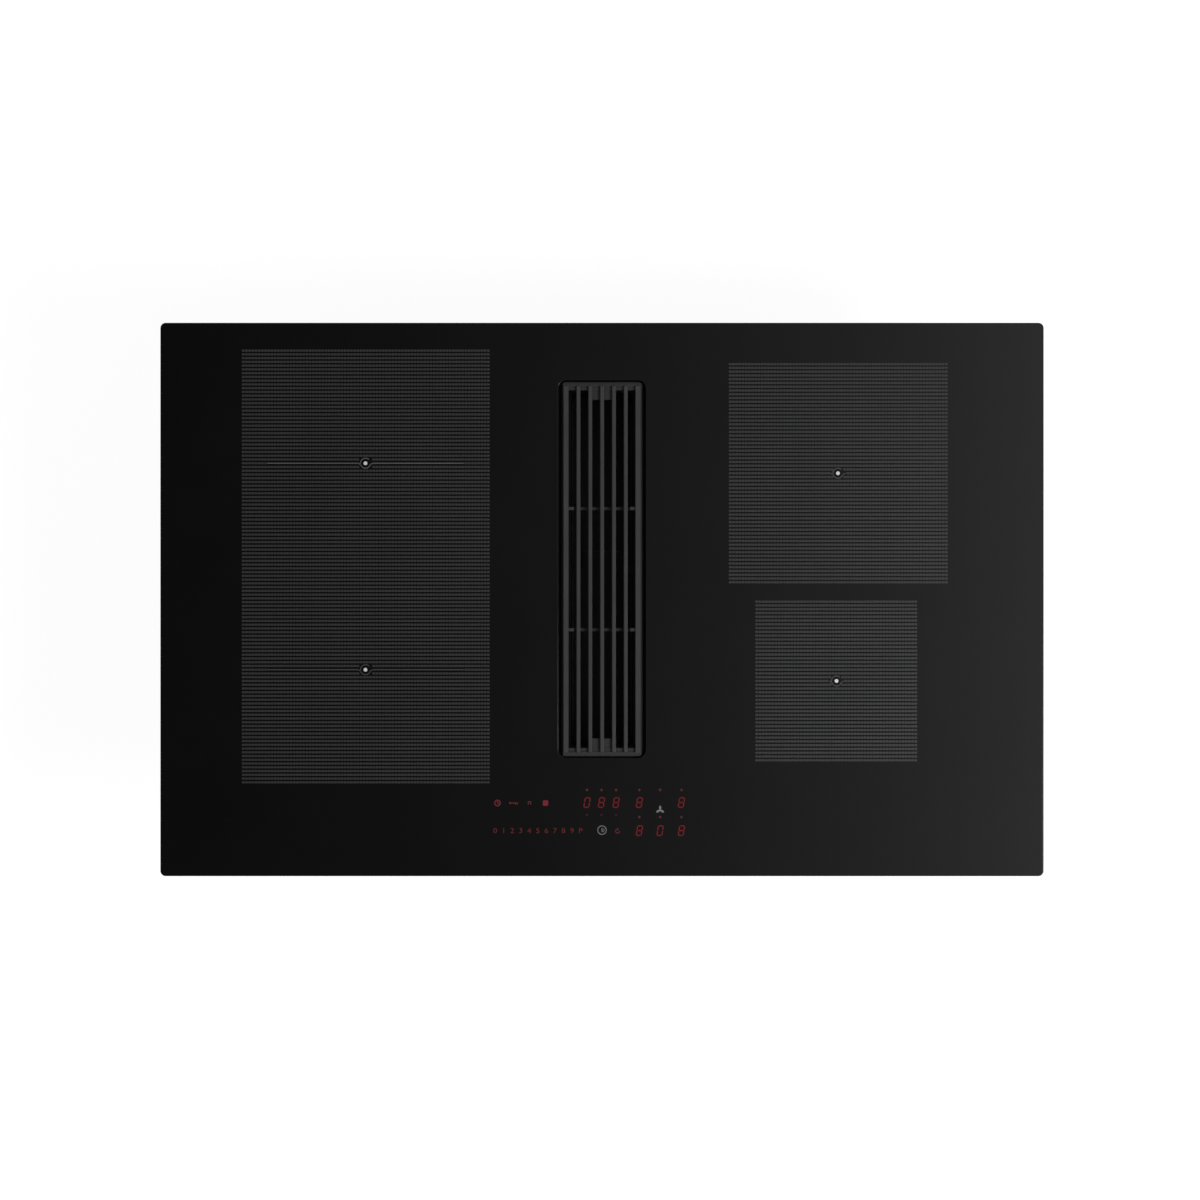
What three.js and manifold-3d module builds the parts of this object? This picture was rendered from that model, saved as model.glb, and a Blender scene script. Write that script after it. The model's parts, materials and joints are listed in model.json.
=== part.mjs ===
// Induction cooktop with a downdraft extractor in its middle, as an assembly of separate solids.
// Millimetres, +Z up. The origin is the middle of the cut-out at the worktop's top face, so z = 0 is the
// seating plane. -Y is the cook's side, where the touch controls are, and +X is to the cook's right.
import * as THREE from 'three';
import { mergeVertices } from 'three/addons/utils/BufferGeometryUtils.js';
import Module from 'manifold-3d';

const wasm = await Module();
wasm.setup();

// ---------------------------------------------------------------- driving dimensions

// Running and bonding gaps.
const bondLine = 0.3; // silicone or a screwed joint between two fixed pieces
const slideGap = 0.5; // all round a piece that lifts or slides out

// Glass plate, and the foam tape that it lies on.
const glassWidth = 830;
const glassDepth = 520;
const glassThickness = 4;
const glassCornerRadius = 5;
const glassBevel = 0.7;
const tapeThickness = 2;
const tapeWidth = 10;
const tapeInset = 3;

// Extraction opening in the glass.
const openingWidth = 82.4;
const openingRadius = 7.5;
const openingFrontMargin = 111; // from the glass's front edge to the opening
const openingRearMargin = 54;

// Cast grille.
const grilleGap = 1.7;
const grilleHeight = 13;
const grilleProud = 0.5;
const grilleRadius = 6;
const grilleSideWidth = 8;
const grilleSideDraft = 3.5; // how far each side wall slopes out
const grilleDraftHeight = 9; // how far down that slope reaches
const grilleRimWidth = 3.8;
const grilleStepWidth = 3.8;
const grilleBandDrop = 1.2; // from the bars' tops to the band across each end
const grilleStepDrop = 2.6;
const grilleEndFall = 1.3; // how far that band slopes down to its outer edge
const barLap = 0.5; // how far the bars reach over it
const barCount = 5;
const barWidth = 3.75;
const barHeight = 11;
const barChamfer = 0.6;
const barRadius = 0.9;
const ribWidth = 2.8;
const ribOffset = 57;
const ribDrop = 6;
const ribHeight = 5;
const gussetLength = 5;
const gussetDrop = 1.4;
const tabLength = 16.5;
const tabDrop = 3.2;
const padLength = 40;
const padWidth = 3;
const padThickness = 1.5;

// Inlet frame: the collar under the glass that carries the grille and the grease filter.
const frameFlange = 16;
const frameWall = 2;
const grilleLedge = 5;
const grilleSideLedge = 6.7;
const filterLedge = 3;
const filterLedgeDrop = 8;
const ledgeThickness = 2;
const frameReach = 8; // how far the collar hangs below the pan

// Grease filter basket.
const rimThickness = 2;
const basketWall = 2;
const basketDepth = 80;
const basketRadius = 5;
const windowCount = 8;
const windowPost = 8;
const windowTopDrop = 26;
const windowFoot = 10;
const meshThickness = 2;
const meshLap = 2.5;
const handleRod = 3;
const handlePivotDrop = 15;
const handleReach = 17;
const handleBoss = 7;

// Steel pan under the glass.
const panWidth = 790;
const panInset = 24; // from the glass's front and rear edges to the pan
const panDrop = 48;
const panWall = 1.2;
const panRadius = 10;
const panFlange = 5;
const panHoleGap = 1.5;
const ventWidth = 4;
const ventPitch = 9;
const frontVentCount = 8;
const frontVentHeight = 18;
const frontVentX = 240;

// Side springs that centre the pan in the worktop.
const springWidth = 22;
const springThickness = 0.8;
const springBow = 8;
const springY = 150;
const springScrewRadius = 4;

// Cooking zones: on the left two wide coils that can work as one, on the right two round coils.
const flexX = -222;
const flexHalfWidth = 108;
const flexRearMargin = 42; // from the glass's rear edge to the rear coil
const flexFrontMargin = 104;
const flexGap = 14;
const roundRearX = 222;
const roundFrontX = 220.5;
const roundRearMargin = 43.5;
const roundFrontMargin = 111.5;
const roundGap = 25;
const roundRearShare = 98 / 170; // of the depth that the two round coils fill
const windingTurns = 6;
const windingHeight = 4.5;
const windingInner = 26; // radius of the clear middle
const windingFill = 0.78; // share of the turn pitch that the strand takes
const windingDrop = 0.6; // mica sheet between the glass and the strand
const carrierThickness = 2;
const carrierRim = 3;
const ferriteCount = 6;
const ferriteWidth = 14;
const ferriteHeight = 4;
const carrierPostRadius = 5;
const sensorRadius = 7;

// Coil support plates and what is under them.
const plateDrop = 19;
const plateThickness = 1.5;
const plateInner = 64;
const plateOuter = 350;
const plateFrontMargin = 94;
const plateRearMargin = 34;
const plateLegWidth = 16;
const boardThickness = 1.6;
const boardWidth = 190;
const boardFrontMargin = 220;
const boardRearMargin = 50;
const boardX = 235;
const capacitorWidth = 32;
const capacitorDepth = 20;
const capacitorHeight = 13;
const capacitorMargin = 30;
const capacitorPitch = 34;
const chokeRadius = 13;
const chokeHeight = 14;
const chokeMargin = 45;
const relayWidth = 16;
const relayDepth = 24;
const relayHeight = 12;
const relayMargin = 40;
const relayPitch = 60;
const boardPartInset = 26;
const relayInset = 18;
const standoffRadius = 4;
const standoffInset = 8;
const boardStandoff = 6;
const heatsinkWidth = 60;
const heatsinkEndRoom = 40;
const heatsinkHeight = 15;
const heatsinkX = 250;
const finCount = 9;
const finThickness = 1.8;
const heatsinkBase = 4;
const fanSize = 84;
const fanHeight = 20;
const fanX = 250;
const fanFrontMargin = 152;
const fanWall = 2;
const fanMouthRadius = 29;
const fanRotorRadius = 33;
const fanHubRadius = 16;
const fanBearingRadius = 3;
const fanBladeCount = 11;
const fanVentCount = 7;

// Touch controls behind the front edge of the glass.
const consoleX = -10;
const consoleFrontMargin = 58; // from the glass's front edge to the tray's middle
const consoleWidth = 216;
const consoleDepth = 62;
const consoleHeight = 12;
const consoleWall = 1.6;
const consoleBoardDrop = 4;
const digitWidth = 11;
const frontDigitMargin = 42.5;
const rearDigitMargin = 69;
const timerDigitInset = 112; // from the tray's right end to the first digit of the timer
const timerDigitPitch = 13.6;
const leftDigitInset = 62.8;
const fanDigitInset = 43.2;
const rightDigitInset = 23.2;
const digitDepth = 16;

// Air box: the plenum under the inlet, and the suction chamber over the blower.
const boxWall = 2.5;
const plenumWidth = 100;
const plenumEndRoom = 11;
const boxRadius = 6;
const chamberLeft = -345;
const chamberDepth = 297;
const chamberRearMargin = 41;
const deckDrop = 108;
const lipWidth = 6;
const lipThickness = 3;
const unitDrop = 204; // lowest face, below the worktop's top

// Drip drawer.
const drawerHeight = 21;
const drawerWidth = 88;
const drawerRearRoom = 27;
const drawerWall = 2;
const drawerFrontLap = 4;
const drawerFrontThickness = 3;
const drawerGrip = 12;

// Blower.
const blowerX = -205;
const blowerRearMargin = 198;
const voluteStart = 100;
const voluteEnd = 148;
const tongueAngle = 65;
const eyeRadius = 64;
const eyeRingDrop = 6;
const eyeRingWall = 2.5;
const eyeRingFlange = 7.5;
const eyeRingThickness = 2;
const impellerRadius = 92;
const impellerInner = 72;
const impellerFloorGap = 6;
const impellerTopGap = 10;
const impellerPlate = 2;
const bladeCount = 22;
const bladeThickness = 1.6;
const bladeSweep = 13;
const motorRadius = 40;
const motorHeight = 48;
const motorFlangeRadius = 50;
const motorFlangeThickness = 3;
const motorHoleRadius = 34;
const shaftRadius = 4;

// Duct spigot at the back, for a flat duct of 222 x 89 mm.
const ductWidth = 217;
const ductHeight = 84;
const ductWall = 2;
const ductRadius = 6;
const ductFlange = 10;
const ductFlangeThickness = 3;
const ductReach = 38;

// Boxes hung under the pan on the right.
const controlBoxX = 118;
const controlBoxRearMargin = 132;
const controlBoxWidth = 108;
const controlBoxLength = 150;
const controlBoxHeight = 34;
const controlBoxWall = 2;
const lidThickness = 2;
const terminalX = 300;
const terminalRearMargin = 64;
const terminalWidth = 92;
const terminalLength = 56;
const terminalHeight = 26;
const glandRadius = 9;
const glandLength = 16;

// Steps in half a round corner, and in a whole circle.
const cornerSteps = 3;
const circleSteps = 28;

// ---------------------------------------------------------------- levels that follow

const glassBottom = tapeThickness;
const glassTop = glassBottom + glassThickness;
const glassSeat = glassBottom - bondLine; // top of what is bonded under the glass
const panBottom = -panDrop;
const panFloor = panBottom + panWall;
const grilleTop = glassTop + grilleProud;
const grilleBottom = grilleTop - grilleHeight;
const grilleSeat = grilleBottom - padThickness;
const filterSeat = grilleSeat - filterLedgeDrop;
const boxTop = panBottom - bondLine;
const deckTop = -deckDrop;
const unitBottom = -unitDrop;
const plateTop = -plateDrop;

// ---------------------------------------------------------------- places that follow the glass's edges

const glassFront = -glassDepth / 2;
const glassRear = glassDepth / 2;
const openingLength = glassDepth - openingFrontMargin - openingRearMargin;
const openingY = (openingFrontMargin - openingRearMargin) / 2;
const panDepth = glassDepth - 2 * panInset;
const plateFront = glassFront + plateFrontMargin;
const plateRear = glassRear - plateRearMargin;
const boardDepth = glassDepth - boardFrontMargin - boardRearMargin;
const boardY = (boardFrontMargin - boardRearMargin) / 2;
const heatsinkLength = boardDepth - 2 * heatsinkEndRoom;
const fanY = glassFront + fanFrontMargin;
const consoleY = glassFront + consoleFrontMargin;
const consoleRight = consoleX + consoleWidth / 2;
const plenumLength = openingLength + 2 * plenumEndRoom;
const chamberRear = glassRear - chamberRearMargin;
const chamberFront = chamberRear - chamberDepth;
const blowerY = glassRear - blowerRearMargin;
const controlBoxY = glassRear - controlBoxRearMargin;
const terminalY = glassRear - terminalRearMargin;

const flexHalfDepth = (glassDepth - flexRearMargin - flexFrontMargin - flexGap) / 4;
const roundRadii = (glassDepth - roundRearMargin - roundFrontMargin - roundGap) / 2;
const roundRear = roundRadii * roundRearShare;
const roundFront = roundRadii - roundRear;

/** Centre, half sizes and squareness of one coil. */
const coil = (x, y, halfX, halfY, squareness) => ({ x, y, halfX, halfY, squareness });
const zones = {
  rear_left: coil(flexX, glassRear - flexRearMargin - flexHalfDepth, flexHalfWidth, flexHalfDepth, 4),
  front_left: coil(flexX, glassFront + flexFrontMargin + flexHalfDepth, flexHalfWidth, flexHalfDepth, 4),
  rear_right: coil(roundRearX, glassRear - roundRearMargin - roundRear, roundRear, roundRear, 2),
  front_right: coil(roundFrontX, glassFront + roundFrontMargin + roundFront, roundFront, roundFront, 2),
};

// ---------------------------------------------------------------- materials

const paint = (color, roughness, metalness = 0) =>
  new THREE.MeshStandardMaterial({ color, roughness, metalness });
const blackGlass = paint(0x141416, 0.12);
const castIron = paint(0x2b2b2c, 0.6, 0.3);
const blackSteel = paint(0x1a1a1b, 0.5, 0.4);
const galvanised = paint(0xa9adb0, 0.42, 0.9);
const stainless = paint(0xb9b7b2, 0.35, 0.95);
const aluminium = paint(0xc2c4c6, 0.4, 0.9);
const blackPlastic = paint(0x1d1d1f, 0.55);
const greyPlastic = paint(0x4b4d50, 0.6);
const whitePlastic = paint(0xd9d8d2, 0.5);
const copper = paint(0xb06a3c, 0.45, 0.8);
const ferriteBlack = paint(0x35363a, 0.6);
const foam = paint(0x222222, 0.95);
const siliconeGrey = paint(0x3c3c3e, 0.8);
const circuitBoard = paint(0x1f5a34, 0.5);
const redDisplay = paint(0x8a1717, 0.3);

// ---------------------------------------------------------------- geometry helpers

/** Rectangle with round corners, centred on (x, y). */
function roundedRectangle(width, depth, radius, x = 0, y = 0) {
  const [left, right, front, rear] = [x - width / 2, x + width / 2, y - depth / 2, y + depth / 2];
  const shape = new THREE.Shape();
  shape.moveTo(left + radius, front);
  shape.lineTo(right - radius, front);
  shape.absarc(right - radius, front + radius, radius, -Math.PI / 2, 0, false);
  shape.lineTo(right, rear - radius);
  shape.absarc(right - radius, rear - radius, radius, 0, Math.PI / 2, false);
  shape.lineTo(left + radius, rear);
  shape.absarc(left + radius, rear - radius, radius, Math.PI / 2, Math.PI, false);
  shape.lineTo(left, front + radius);
  shape.absarc(left + radius, front + radius, radius, Math.PI, Math.PI * 1.5, false);
  return shape;
}

/** Outline with a hole in it. */
function withHole(shape, hole) {
  shape.holes.push(hole);
  return shape;
}

/** Upright prism of an outline, from one level up to another. */
function prism(shape, bottom, top) {
  const options = { depth: top - bottom, bevelEnabled: false, curveSegments: cornerSteps };
  return new THREE.ExtrudeGeometry(shape, options).translate(0, 0, bottom);
}

/** Prism whose top and bottom edges are bevelled inwards, outside and round its holes. */
function bevelledPrism(shape, bottom, top, bevel, steps = cornerSteps) {
  const options = {
    depth: top - bottom - 2 * bevel,
    bevelThickness: bevel,
    bevelSize: bevel,
    bevelOffset: -bevel,
    bevelSegments: 1,
    curveSegments: steps,
  };
  return new THREE.ExtrudeGeometry(shape, options).translate(0, 0, bottom + bevel);
}

/** Box between two limits on each axis, given in either order. */
function block(x0, x1, y0, y1, z0, z1) {
  const box = new THREE.BoxGeometry(Math.abs(x1 - x0), Math.abs(y1 - y0), Math.abs(z1 - z0));
  return box.translate((x0 + x1) / 2, (y0 + y1) / 2, (z0 + z1) / 2);
}

/** Upright cylinder. */
function upright(radius, bottom, top, x = 0, y = 0, steps = circleSteps) {
  const cylinder = new THREE.CylinderGeometry(radius, radius, top - bottom, steps);
  return cylinder.rotateX(Math.PI / 2).translate(x, y, (bottom + top) / 2);
}

/** Closed outline of a strip that follows a line of points, with half its thickness on each side. */
function stripOutline(points, thickness) {
  const side = (sign) =>
    points.map((point, i) => {
      const before = points[Math.max(i - 1, 0)];
      const after = points[Math.min(i + 1, points.length - 1)];
      const along = after.clone().sub(before).normalize();
      const across = new THREE.Vector2(-along.y, along.x);
      return point.clone().addScaledVector(across, (sign * thickness) / 2);
    });
  return new THREE.Shape([...side(-1), ...side(1).reverse()]);
}

/** Geometry as a solid that can be joined and cut. */
function solid(geometry) {
  const flat = geometry.index ? geometry.toNonIndexed() : geometry;
  const bare = new THREE.BufferGeometry().setAttribute('position', flat.getAttribute('position'));
  const merged = mergeVertices(bare, 1e-4);
  const corners = merged.index.array;
  const faces = range(corners.length / 3).map((i) => Array.from(corners.slice(3 * i, 3 * i + 3)));
  const mesh = new wasm.Mesh({
    numProp: 3,
    vertProperties: new Float32Array(merged.attributes.position.array),
    triVerts: new Uint32Array(faces.filter((face) => new Set(face).size === 3).flat()),
  });
  return new wasm.Manifold(mesh);
}

/** Solid back to a geometry. */
function geometryOf(body) {
  const mesh = body.getMesh();
  const geometry = new THREE.BufferGeometry();
  geometry.setAttribute('position', new THREE.BufferAttribute(mesh.vertProperties, 3));
  geometry.setIndex(new THREE.BufferAttribute(mesh.triVerts, 1));
  return geometry;
}

/** All of these geometries joined into one. */
function join(...geometries) {
  return geometryOf(geometries.map(solid).reduce((whole, piece) => whole.add(piece)));
}

/** The first geometry with the others cut away from it. */
function cut(from, ...tools) {
  return geometryOf(tools.map(solid).reduce((left, tool) => left.subtract(tool), solid(from)));
}

/** Whole numbers from 0 up to count - 1. */
const range = (count) => Array.from({ length: count }, (_, i) => i);

/** Named mesh. */
function piece(name, geometry, material) {
  const mesh = new THREE.Mesh(geometry, material);
  mesh.name = name;
  return mesh;
}

/** Group of pieces at a place. */
function group(x, y, z, ...members) {
  const made = new THREE.Group();
  made.position.set(x, y, z);
  made.add(...members);
  return made;
}

// ---------------------------------------------------------------- glass and its seat

/** Glass plate with ground edges and the extraction opening. */
function glassPlate() {
  const outline = roundedRectangle(glassWidth, glassDepth, glassCornerRadius);
  const opening = roundedRectangle(openingWidth, openingLength, openingRadius, 0, openingY);
  return bevelledPrism(withHole(outline, opening), glassBottom, glassTop, glassBevel);
}

/** Foam tape between the glass and the worktop. */
function sealingTape() {
  const width = glassWidth - 2 * tapeInset;
  const depth = glassDepth - 2 * tapeInset;
  const outline = roundedRectangle(width, depth, glassCornerRadius);
  const inside = roundedRectangle(width - 2 * tapeWidth, depth - 2 * tapeWidth, glassCornerRadius / 2);
  return prism(withHole(outline, inside), 0, glassBottom);
}

// ---------------------------------------------------------------- grille, built round the opening's middle

const grilleWidth = openingWidth - 2 * grilleGap;
const grilleLength = openingLength - 2 * grilleGap;
const slotsWidth = grilleWidth - 2 * grilleSideWidth;
const slotWidth = (slotsWidth - barCount * barWidth) / (barCount + 1);
const barPitch = slotWidth + barWidth;

const rimLength = grilleLength - 2 * grilleRimWidth;
const barEnd = rimLength / 2 + barLap;

/** What is cut off over the sloping band at one end of the grille. */
function grilleEndRoom(end) {
  const bandTop = grilleTop - grilleBandDrop;
  const beyond = grilleLength - barEnd;
  const profile = new THREE.Shape([
    new THREE.Vector2(rimLength / 2, bandTop),
    new THREE.Vector2(barEnd, bandTop),
    new THREE.Vector2(beyond, bandTop - 2 * grilleEndFall),
    new THREE.Vector2(beyond, grilleTop + 1),
    new THREE.Vector2(rimLength / 2, grilleTop + 1),
  ]);
  const length = grilleWidth + 2;
  return new THREE.ExtrudeGeometry(profile, { depth: length, bevelEnabled: false })
    .rotateX(Math.PI / 2)
    .translate(0, length / 2, 0)
    .rotateZ((end * Math.PI) / 2);
}

/** What is cut off over the sloping wall on one side of the grille. */
function grilleSideRoom(side) {
  const inner = grilleWidth / 2 - grilleSideDraft;
  const profile = new THREE.Shape([
    new THREE.Vector2(inner, grilleTop),
    new THREE.Vector2(grilleWidth / 2 + grilleSideDraft, grilleTop - 2 * grilleDraftHeight),
    new THREE.Vector2(grilleWidth / 2 + grilleSideDraft, grilleTop + 1),
    new THREE.Vector2(inner, grilleTop + 1),
  ]);
  const length = grilleLength + 2;
  return new THREE.ExtrudeGeometry(profile, { depth: length, bevelEnabled: false })
    .rotateX(Math.PI / 2)
    .translate(0, length / 2, 0)
    .rotateZ(side < 0 ? Math.PI : 0);
}

/** Frame, long bars, cross ribs and end tabs as one casting. */
function grille() {
  const stepLength = rimLength - 2 * grilleStepWidth;
  const stepTop = grilleTop - grilleStepDrop;
  const outline = roundedRectangle(grilleWidth, grilleLength, grilleRadius);
  const rim = cut(
    prism(outline, grilleBottom, grilleTop),
    block(-slotsWidth / 2, slotsWidth / 2, -rimLength / 2, rimLength / 2, grilleBottom - 1, grilleTop + 1),
    ...[-1, 1].flatMap((side) => [grilleEndRoom(side), grilleSideRoom(side)]),
  );
  const steps = [-1, 1].map((end) => {
    const near = end * (stepLength / 2);
    return block(-slotsWidth / 2 - 1, slotsWidth / 2 + 1, near, end * barEnd, grilleBottom, stepTop);
  });
  const bars = range(barCount).map((i) => {
    const x = (i - (barCount - 1) / 2) * barPitch;
    const bar = roundedRectangle(barWidth, 2 * barEnd, barRadius, x, 0);
    return bevelledPrism(bar, grilleTop - barHeight, grilleTop, barChamfer, 1);
  });
  const half = slotsWidth / 2 + 1;
  const ribTop = grilleTop - ribDrop;
  const ribs = [-ribOffset, ribOffset].flatMap((y) => {
    const [front, rear] = [y - ribWidth / 2, y + ribWidth / 2];
    const ends = [-1, 1].map((side) => {
      const inner = side * (slotsWidth / 2 - gussetLength);
      return block(inner, side * half, front, rear, ribTop - ribHeight, grilleTop - gussetDrop);
    });
    return [block(-half, half, front, rear, ribTop - ribHeight, ribTop), ...ends];
  });
  const tabs = [-1, 1].map((end) => {
    const near = end * (grilleLength / 2 - tabLength);
    return block(-barPitch, barPitch, near, end * barEnd, grilleBottom, grilleTop - tabDrop);
  });
  return join(rim, ...steps, ...bars, ...ribs, ...tabs);
}

/** Silicone pad under one end of the grille. */
function grillePad(end) {
  const y = end * ((grilleLength - padWidth) / 2 - bondLine);
  return block(-padLength / 2, padLength / 2, y - padWidth / 2, y + padWidth / 2, grilleSeat, grilleBottom);
}

// ---------------------------------------------------------------- inlet frame

const throatWidth = openingWidth - 2 * grilleSideLedge;
const throatLength = openingLength - 2 * grilleLedge;
const neckWidth = throatWidth - 2 * filterLedge;
const neckLength = throatLength - 2 * filterLedge;
const throatRadius = openingRadius - grilleLedge / 2;
const neckOuterWidth = neckWidth + 2 * frameWall;
const neckOuterLength = neckLength + 2 * frameWall;

/** Collar under the opening, with a ledge for the grille and one for the grease filter. */
function inletFrame() {
  const ring = (width, length, radius, bottom, top = glassSeat) =>
    prism(roundedRectangle(width, length, radius), bottom, top);
  const flange = ring(
    openingWidth + 2 * frameFlange,
    openingLength + 2 * frameFlange,
    frameFlange + openingRadius / 2,
    glassSeat - frameWall,
  );
  const grilleWell = ring(
    openingWidth + 2 * frameWall,
    openingLength + 2 * frameWall,
    openingRadius + frameWall,
    grilleSeat - ledgeThickness,
  );
  const throat = ring(
    throatWidth + 2 * frameWall,
    throatLength + 2 * frameWall,
    throatRadius + frameWall,
    filterSeat - ledgeThickness,
  );
  const neck = ring(neckOuterWidth, neckOuterLength, throatRadius, panBottom - frameReach);
  const above = glassSeat + 1;
  return cut(
    join(flange, grilleWell, throat, neck),
    ring(openingWidth, openingLength, openingRadius, grilleSeat, above),
    ring(throatWidth, throatLength, throatRadius, filterSeat, above),
    ring(neckWidth, neckLength, throatRadius, panBottom - frameReach - 1, above),
  );
}

// ---------------------------------------------------------------- grease filter

const basketWidth = neckWidth - 2 * slideGap;
const basketLength = neckLength - 2 * slideGap;
const rimBottom = filterSeat + bondLine;
const rimTop = rimBottom + rimThickness;
const basketBottom = rimBottom - basketDepth;
const windowTop = rimTop - windowTopDrop;
const windowBottom = basketBottom + windowFoot;
const windowPitch = (basketLength - 2 * basketRadius - windowPost) / windowCount;
const meshHeight = windowTop - windowBottom + 2 * meshLap;
const pivotLevel = rimTop - handlePivotDrop;
const pivotX = basketWidth / 2 - basketWall - handleBoss / 2;

/** Basket with a hanging rim, windowed long sides and a closed gutter that holds the grease. */
function filterBasket() {
  const shell = cut(
    join(
      prism(
        roundedRectangle(throatWidth - 2 * slideGap, throatLength - 2 * slideGap, throatRadius),
        rimBottom,
        rimTop,
      ),
      prism(roundedRectangle(basketWidth, basketLength, basketRadius), basketBottom, rimTop),
    ),
    prism(
      roundedRectangle(
        basketWidth - 2 * basketWall,
        basketLength - 2 * basketWall,
        basketRadius - basketWall,
      ),
      basketBottom + basketWall,
      rimTop + 1,
    ),
  );
  const windows = range(windowCount).map((i) => {
    const y = (i - (windowCount - 1) / 2) * windowPitch;
    const halfWindow = (windowPitch - windowPost) / 2;
    return block(-basketWidth, basketWidth, y - halfWindow, y + halfWindow, windowBottom, windowTop);
  });
  const bosses = [-1, 1].map((side) => {
    const wall = side * (basketWidth / 2 - basketWall / 2);
    const tip = side * (pivotX - handleBoss / 2 + slideGap);
    const [low, high] = [pivotLevel - handleBoss / 2, pivotLevel + handleBoss / 2];
    return block(wall, tip, -handleBoss / 2, handleBoss / 2, low, high);
  });
  const pinHole = (side) =>
    new THREE.CylinderGeometry(handleRod / 2 + bondLine, handleRod / 2 + bondLine, handleBoss, 12)
      .rotateZ(Math.PI / 2)
      .translate(side * (pivotX - slideGap), 0, pivotLevel);
  return cut(join(cut(shell, ...windows), ...bosses), pinHole(-1), pinHole(1));
}

/** Pack of expanded-metal layers behind one row of windows. */
function filterMesh(side) {
  const wallFace = basketWidth / 2 - basketWall - bondLine;
  const halfLength = (windowPitch * windowCount - windowPost) / 2 + meshLap;
  const [near, far] = [side * (wallFace - meshThickness), side * wallFace];
  const low = windowBottom - meshLap;
  return block(near, far, -halfLength, halfLength, low, low + meshHeight);
}

/** Folding bail that lies flat in the basket and turns up to lift it out. */
function filterHandle() {
  const pin = pivotX - slideGap;
  const legX = pin - handleBoss / 2 - handleRod;
  const bend = handleRod * 1.2;
  const path = new THREE.CurvePath();
  const corner = (from, at, to) => path.add(new THREE.QuadraticBezierCurve3(from, at, to));
  const line = (from, to) => path.add(new THREE.LineCurve3(from, to));
  const at = (x, y) => new THREE.Vector3(x, y, 0);
  line(at(-pin, 0), at(-legX - bend, 0));
  corner(at(-legX - bend, 0), at(-legX, 0), at(-legX, bend));
  line(at(-legX, bend), at(-legX, handleReach - bend));
  corner(at(-legX, handleReach - bend), at(-legX, handleReach), at(-legX + bend, handleReach));
  line(at(-legX + bend, handleReach), at(legX - bend, handleReach));
  corner(at(legX - bend, handleReach), at(legX, handleReach), at(legX, handleReach - bend));
  line(at(legX, handleReach - bend), at(legX, bend));
  corner(at(legX, bend), at(legX, 0), at(legX + bend, 0));
  line(at(legX + bend, 0), at(pin, 0));
  const section = new THREE.Shape().absarc(0, 0, handleRod / 2, 0, 2 * Math.PI, false);
  const options = { extrudePath: path, steps: 40, curveSegments: 3, bevelEnabled: false };
  return new THREE.ExtrudeGeometry(section, options);
}

// ---------------------------------------------------------------- steel pan

/** Pan with an outward flange, the hole for the collar, and cooling vents. */
function basePan() {
  const outer = join(
    prism(
      roundedRectangle(panWidth + 2 * panFlange, panDepth + 2 * panFlange, panRadius + panFlange),
      glassSeat - panWall,
      glassSeat,
    ),
    prism(roundedRectangle(panWidth, panDepth, panRadius), panBottom, glassSeat - panWall / 2),
  );
  const inside = prism(
    roundedRectangle(panWidth - 2 * panWall, panDepth - 2 * panWall, panRadius - panWall),
    panFloor,
    glassSeat + 1,
  );
  const collarHole = prism(
    roundedRectangle(
      neckOuterWidth + 2 * panHoleGap,
      neckOuterLength + 2 * panHoleGap,
      throatRadius + panHoleGap,
      0,
      openingY,
    ),
    panBottom - 1,
    panFloor + 1,
  );
  const fanVents = [-fanX, fanX].flatMap((x) =>
    range(fanVentCount).map((i) => {
      const offset = (i - (fanVentCount - 1) / 2) * ventPitch;
      const half = Math.sqrt(fanMouthRadius ** 2 - offset ** 2);
      const left = x + offset - ventWidth / 2;
      return block(left, left + ventWidth, fanY - half, fanY + half, panBottom - 1, panFloor + 1);
    }),
  );
  const ventMiddle = (glassSeat + panBottom) / 2;
  const frontVents = [-frontVentX, frontVentX].flatMap((x) =>
    range(frontVentCount).map((i) => {
      const left = x + (i - (frontVentCount - 1) / 2) * ventPitch - ventWidth / 2;
      const wall = -panDepth / 2;
      return block(
        left,
        left + ventWidth,
        wall - 1,
        wall + panWall + 1,
        ventMiddle - frontVentHeight / 2,
        ventMiddle + frontVentHeight / 2,
      );
    }),
  );
  return cut(outer, inside, collarHole, ...fanVents, ...frontVents);
}

/** Bowed leaf spring on a side wall of the pan, with its screw head. Its wall is the plane x = 0. */
function sideSpring() {
  const top = glassSeat - panWall - 4;
  const bottom = panBottom + 3;
  const seat = bondLine + springThickness / 2;
  const height = top - bottom;
  const flat = 0.28; // share of the height that lies on the wall
  const line = [
    new THREE.Vector2(seat, top),
    new THREE.Vector2(seat, top - height * flat),
    new THREE.Vector2(seat + springBow * 0.55, top - height * (flat + 0.2)),
    new THREE.Vector2(seat + springBow, top - height * (flat + 0.42)),
    new THREE.Vector2(seat + springBow * 0.6, top - height * (flat + 0.6)),
    new THREE.Vector2(seat + springThickness / 4, bottom),
  ];
  const options = { depth: springWidth, bevelEnabled: false };
  const leaf = new THREE.ExtrudeGeometry(stripOutline(line, springThickness), options)
    .rotateX(Math.PI / 2)
    .translate(0, springWidth / 2, 0);
  const head = new THREE.CylinderGeometry(springScrewRadius * 0.8, springScrewRadius, 2, 16)
    .rotateZ(-Math.PI / 2)
    .translate(seat + 1, 0, top - (height * flat) / 2);
  return join(leaf, head);
}

// ---------------------------------------------------------------- coils

/** Point of a superellipse at an angle: an ellipse at 2, a rounded rectangle above that. */
function superellipse(angle, halfX, halfY, squareness) {
  const power = 2 / squareness;
  const stretch = (value) => Math.sign(value) * Math.abs(value) ** power;
  return new THREE.Vector2(halfX * stretch(Math.cos(angle)), halfY * stretch(Math.sin(angle)));
}

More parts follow.
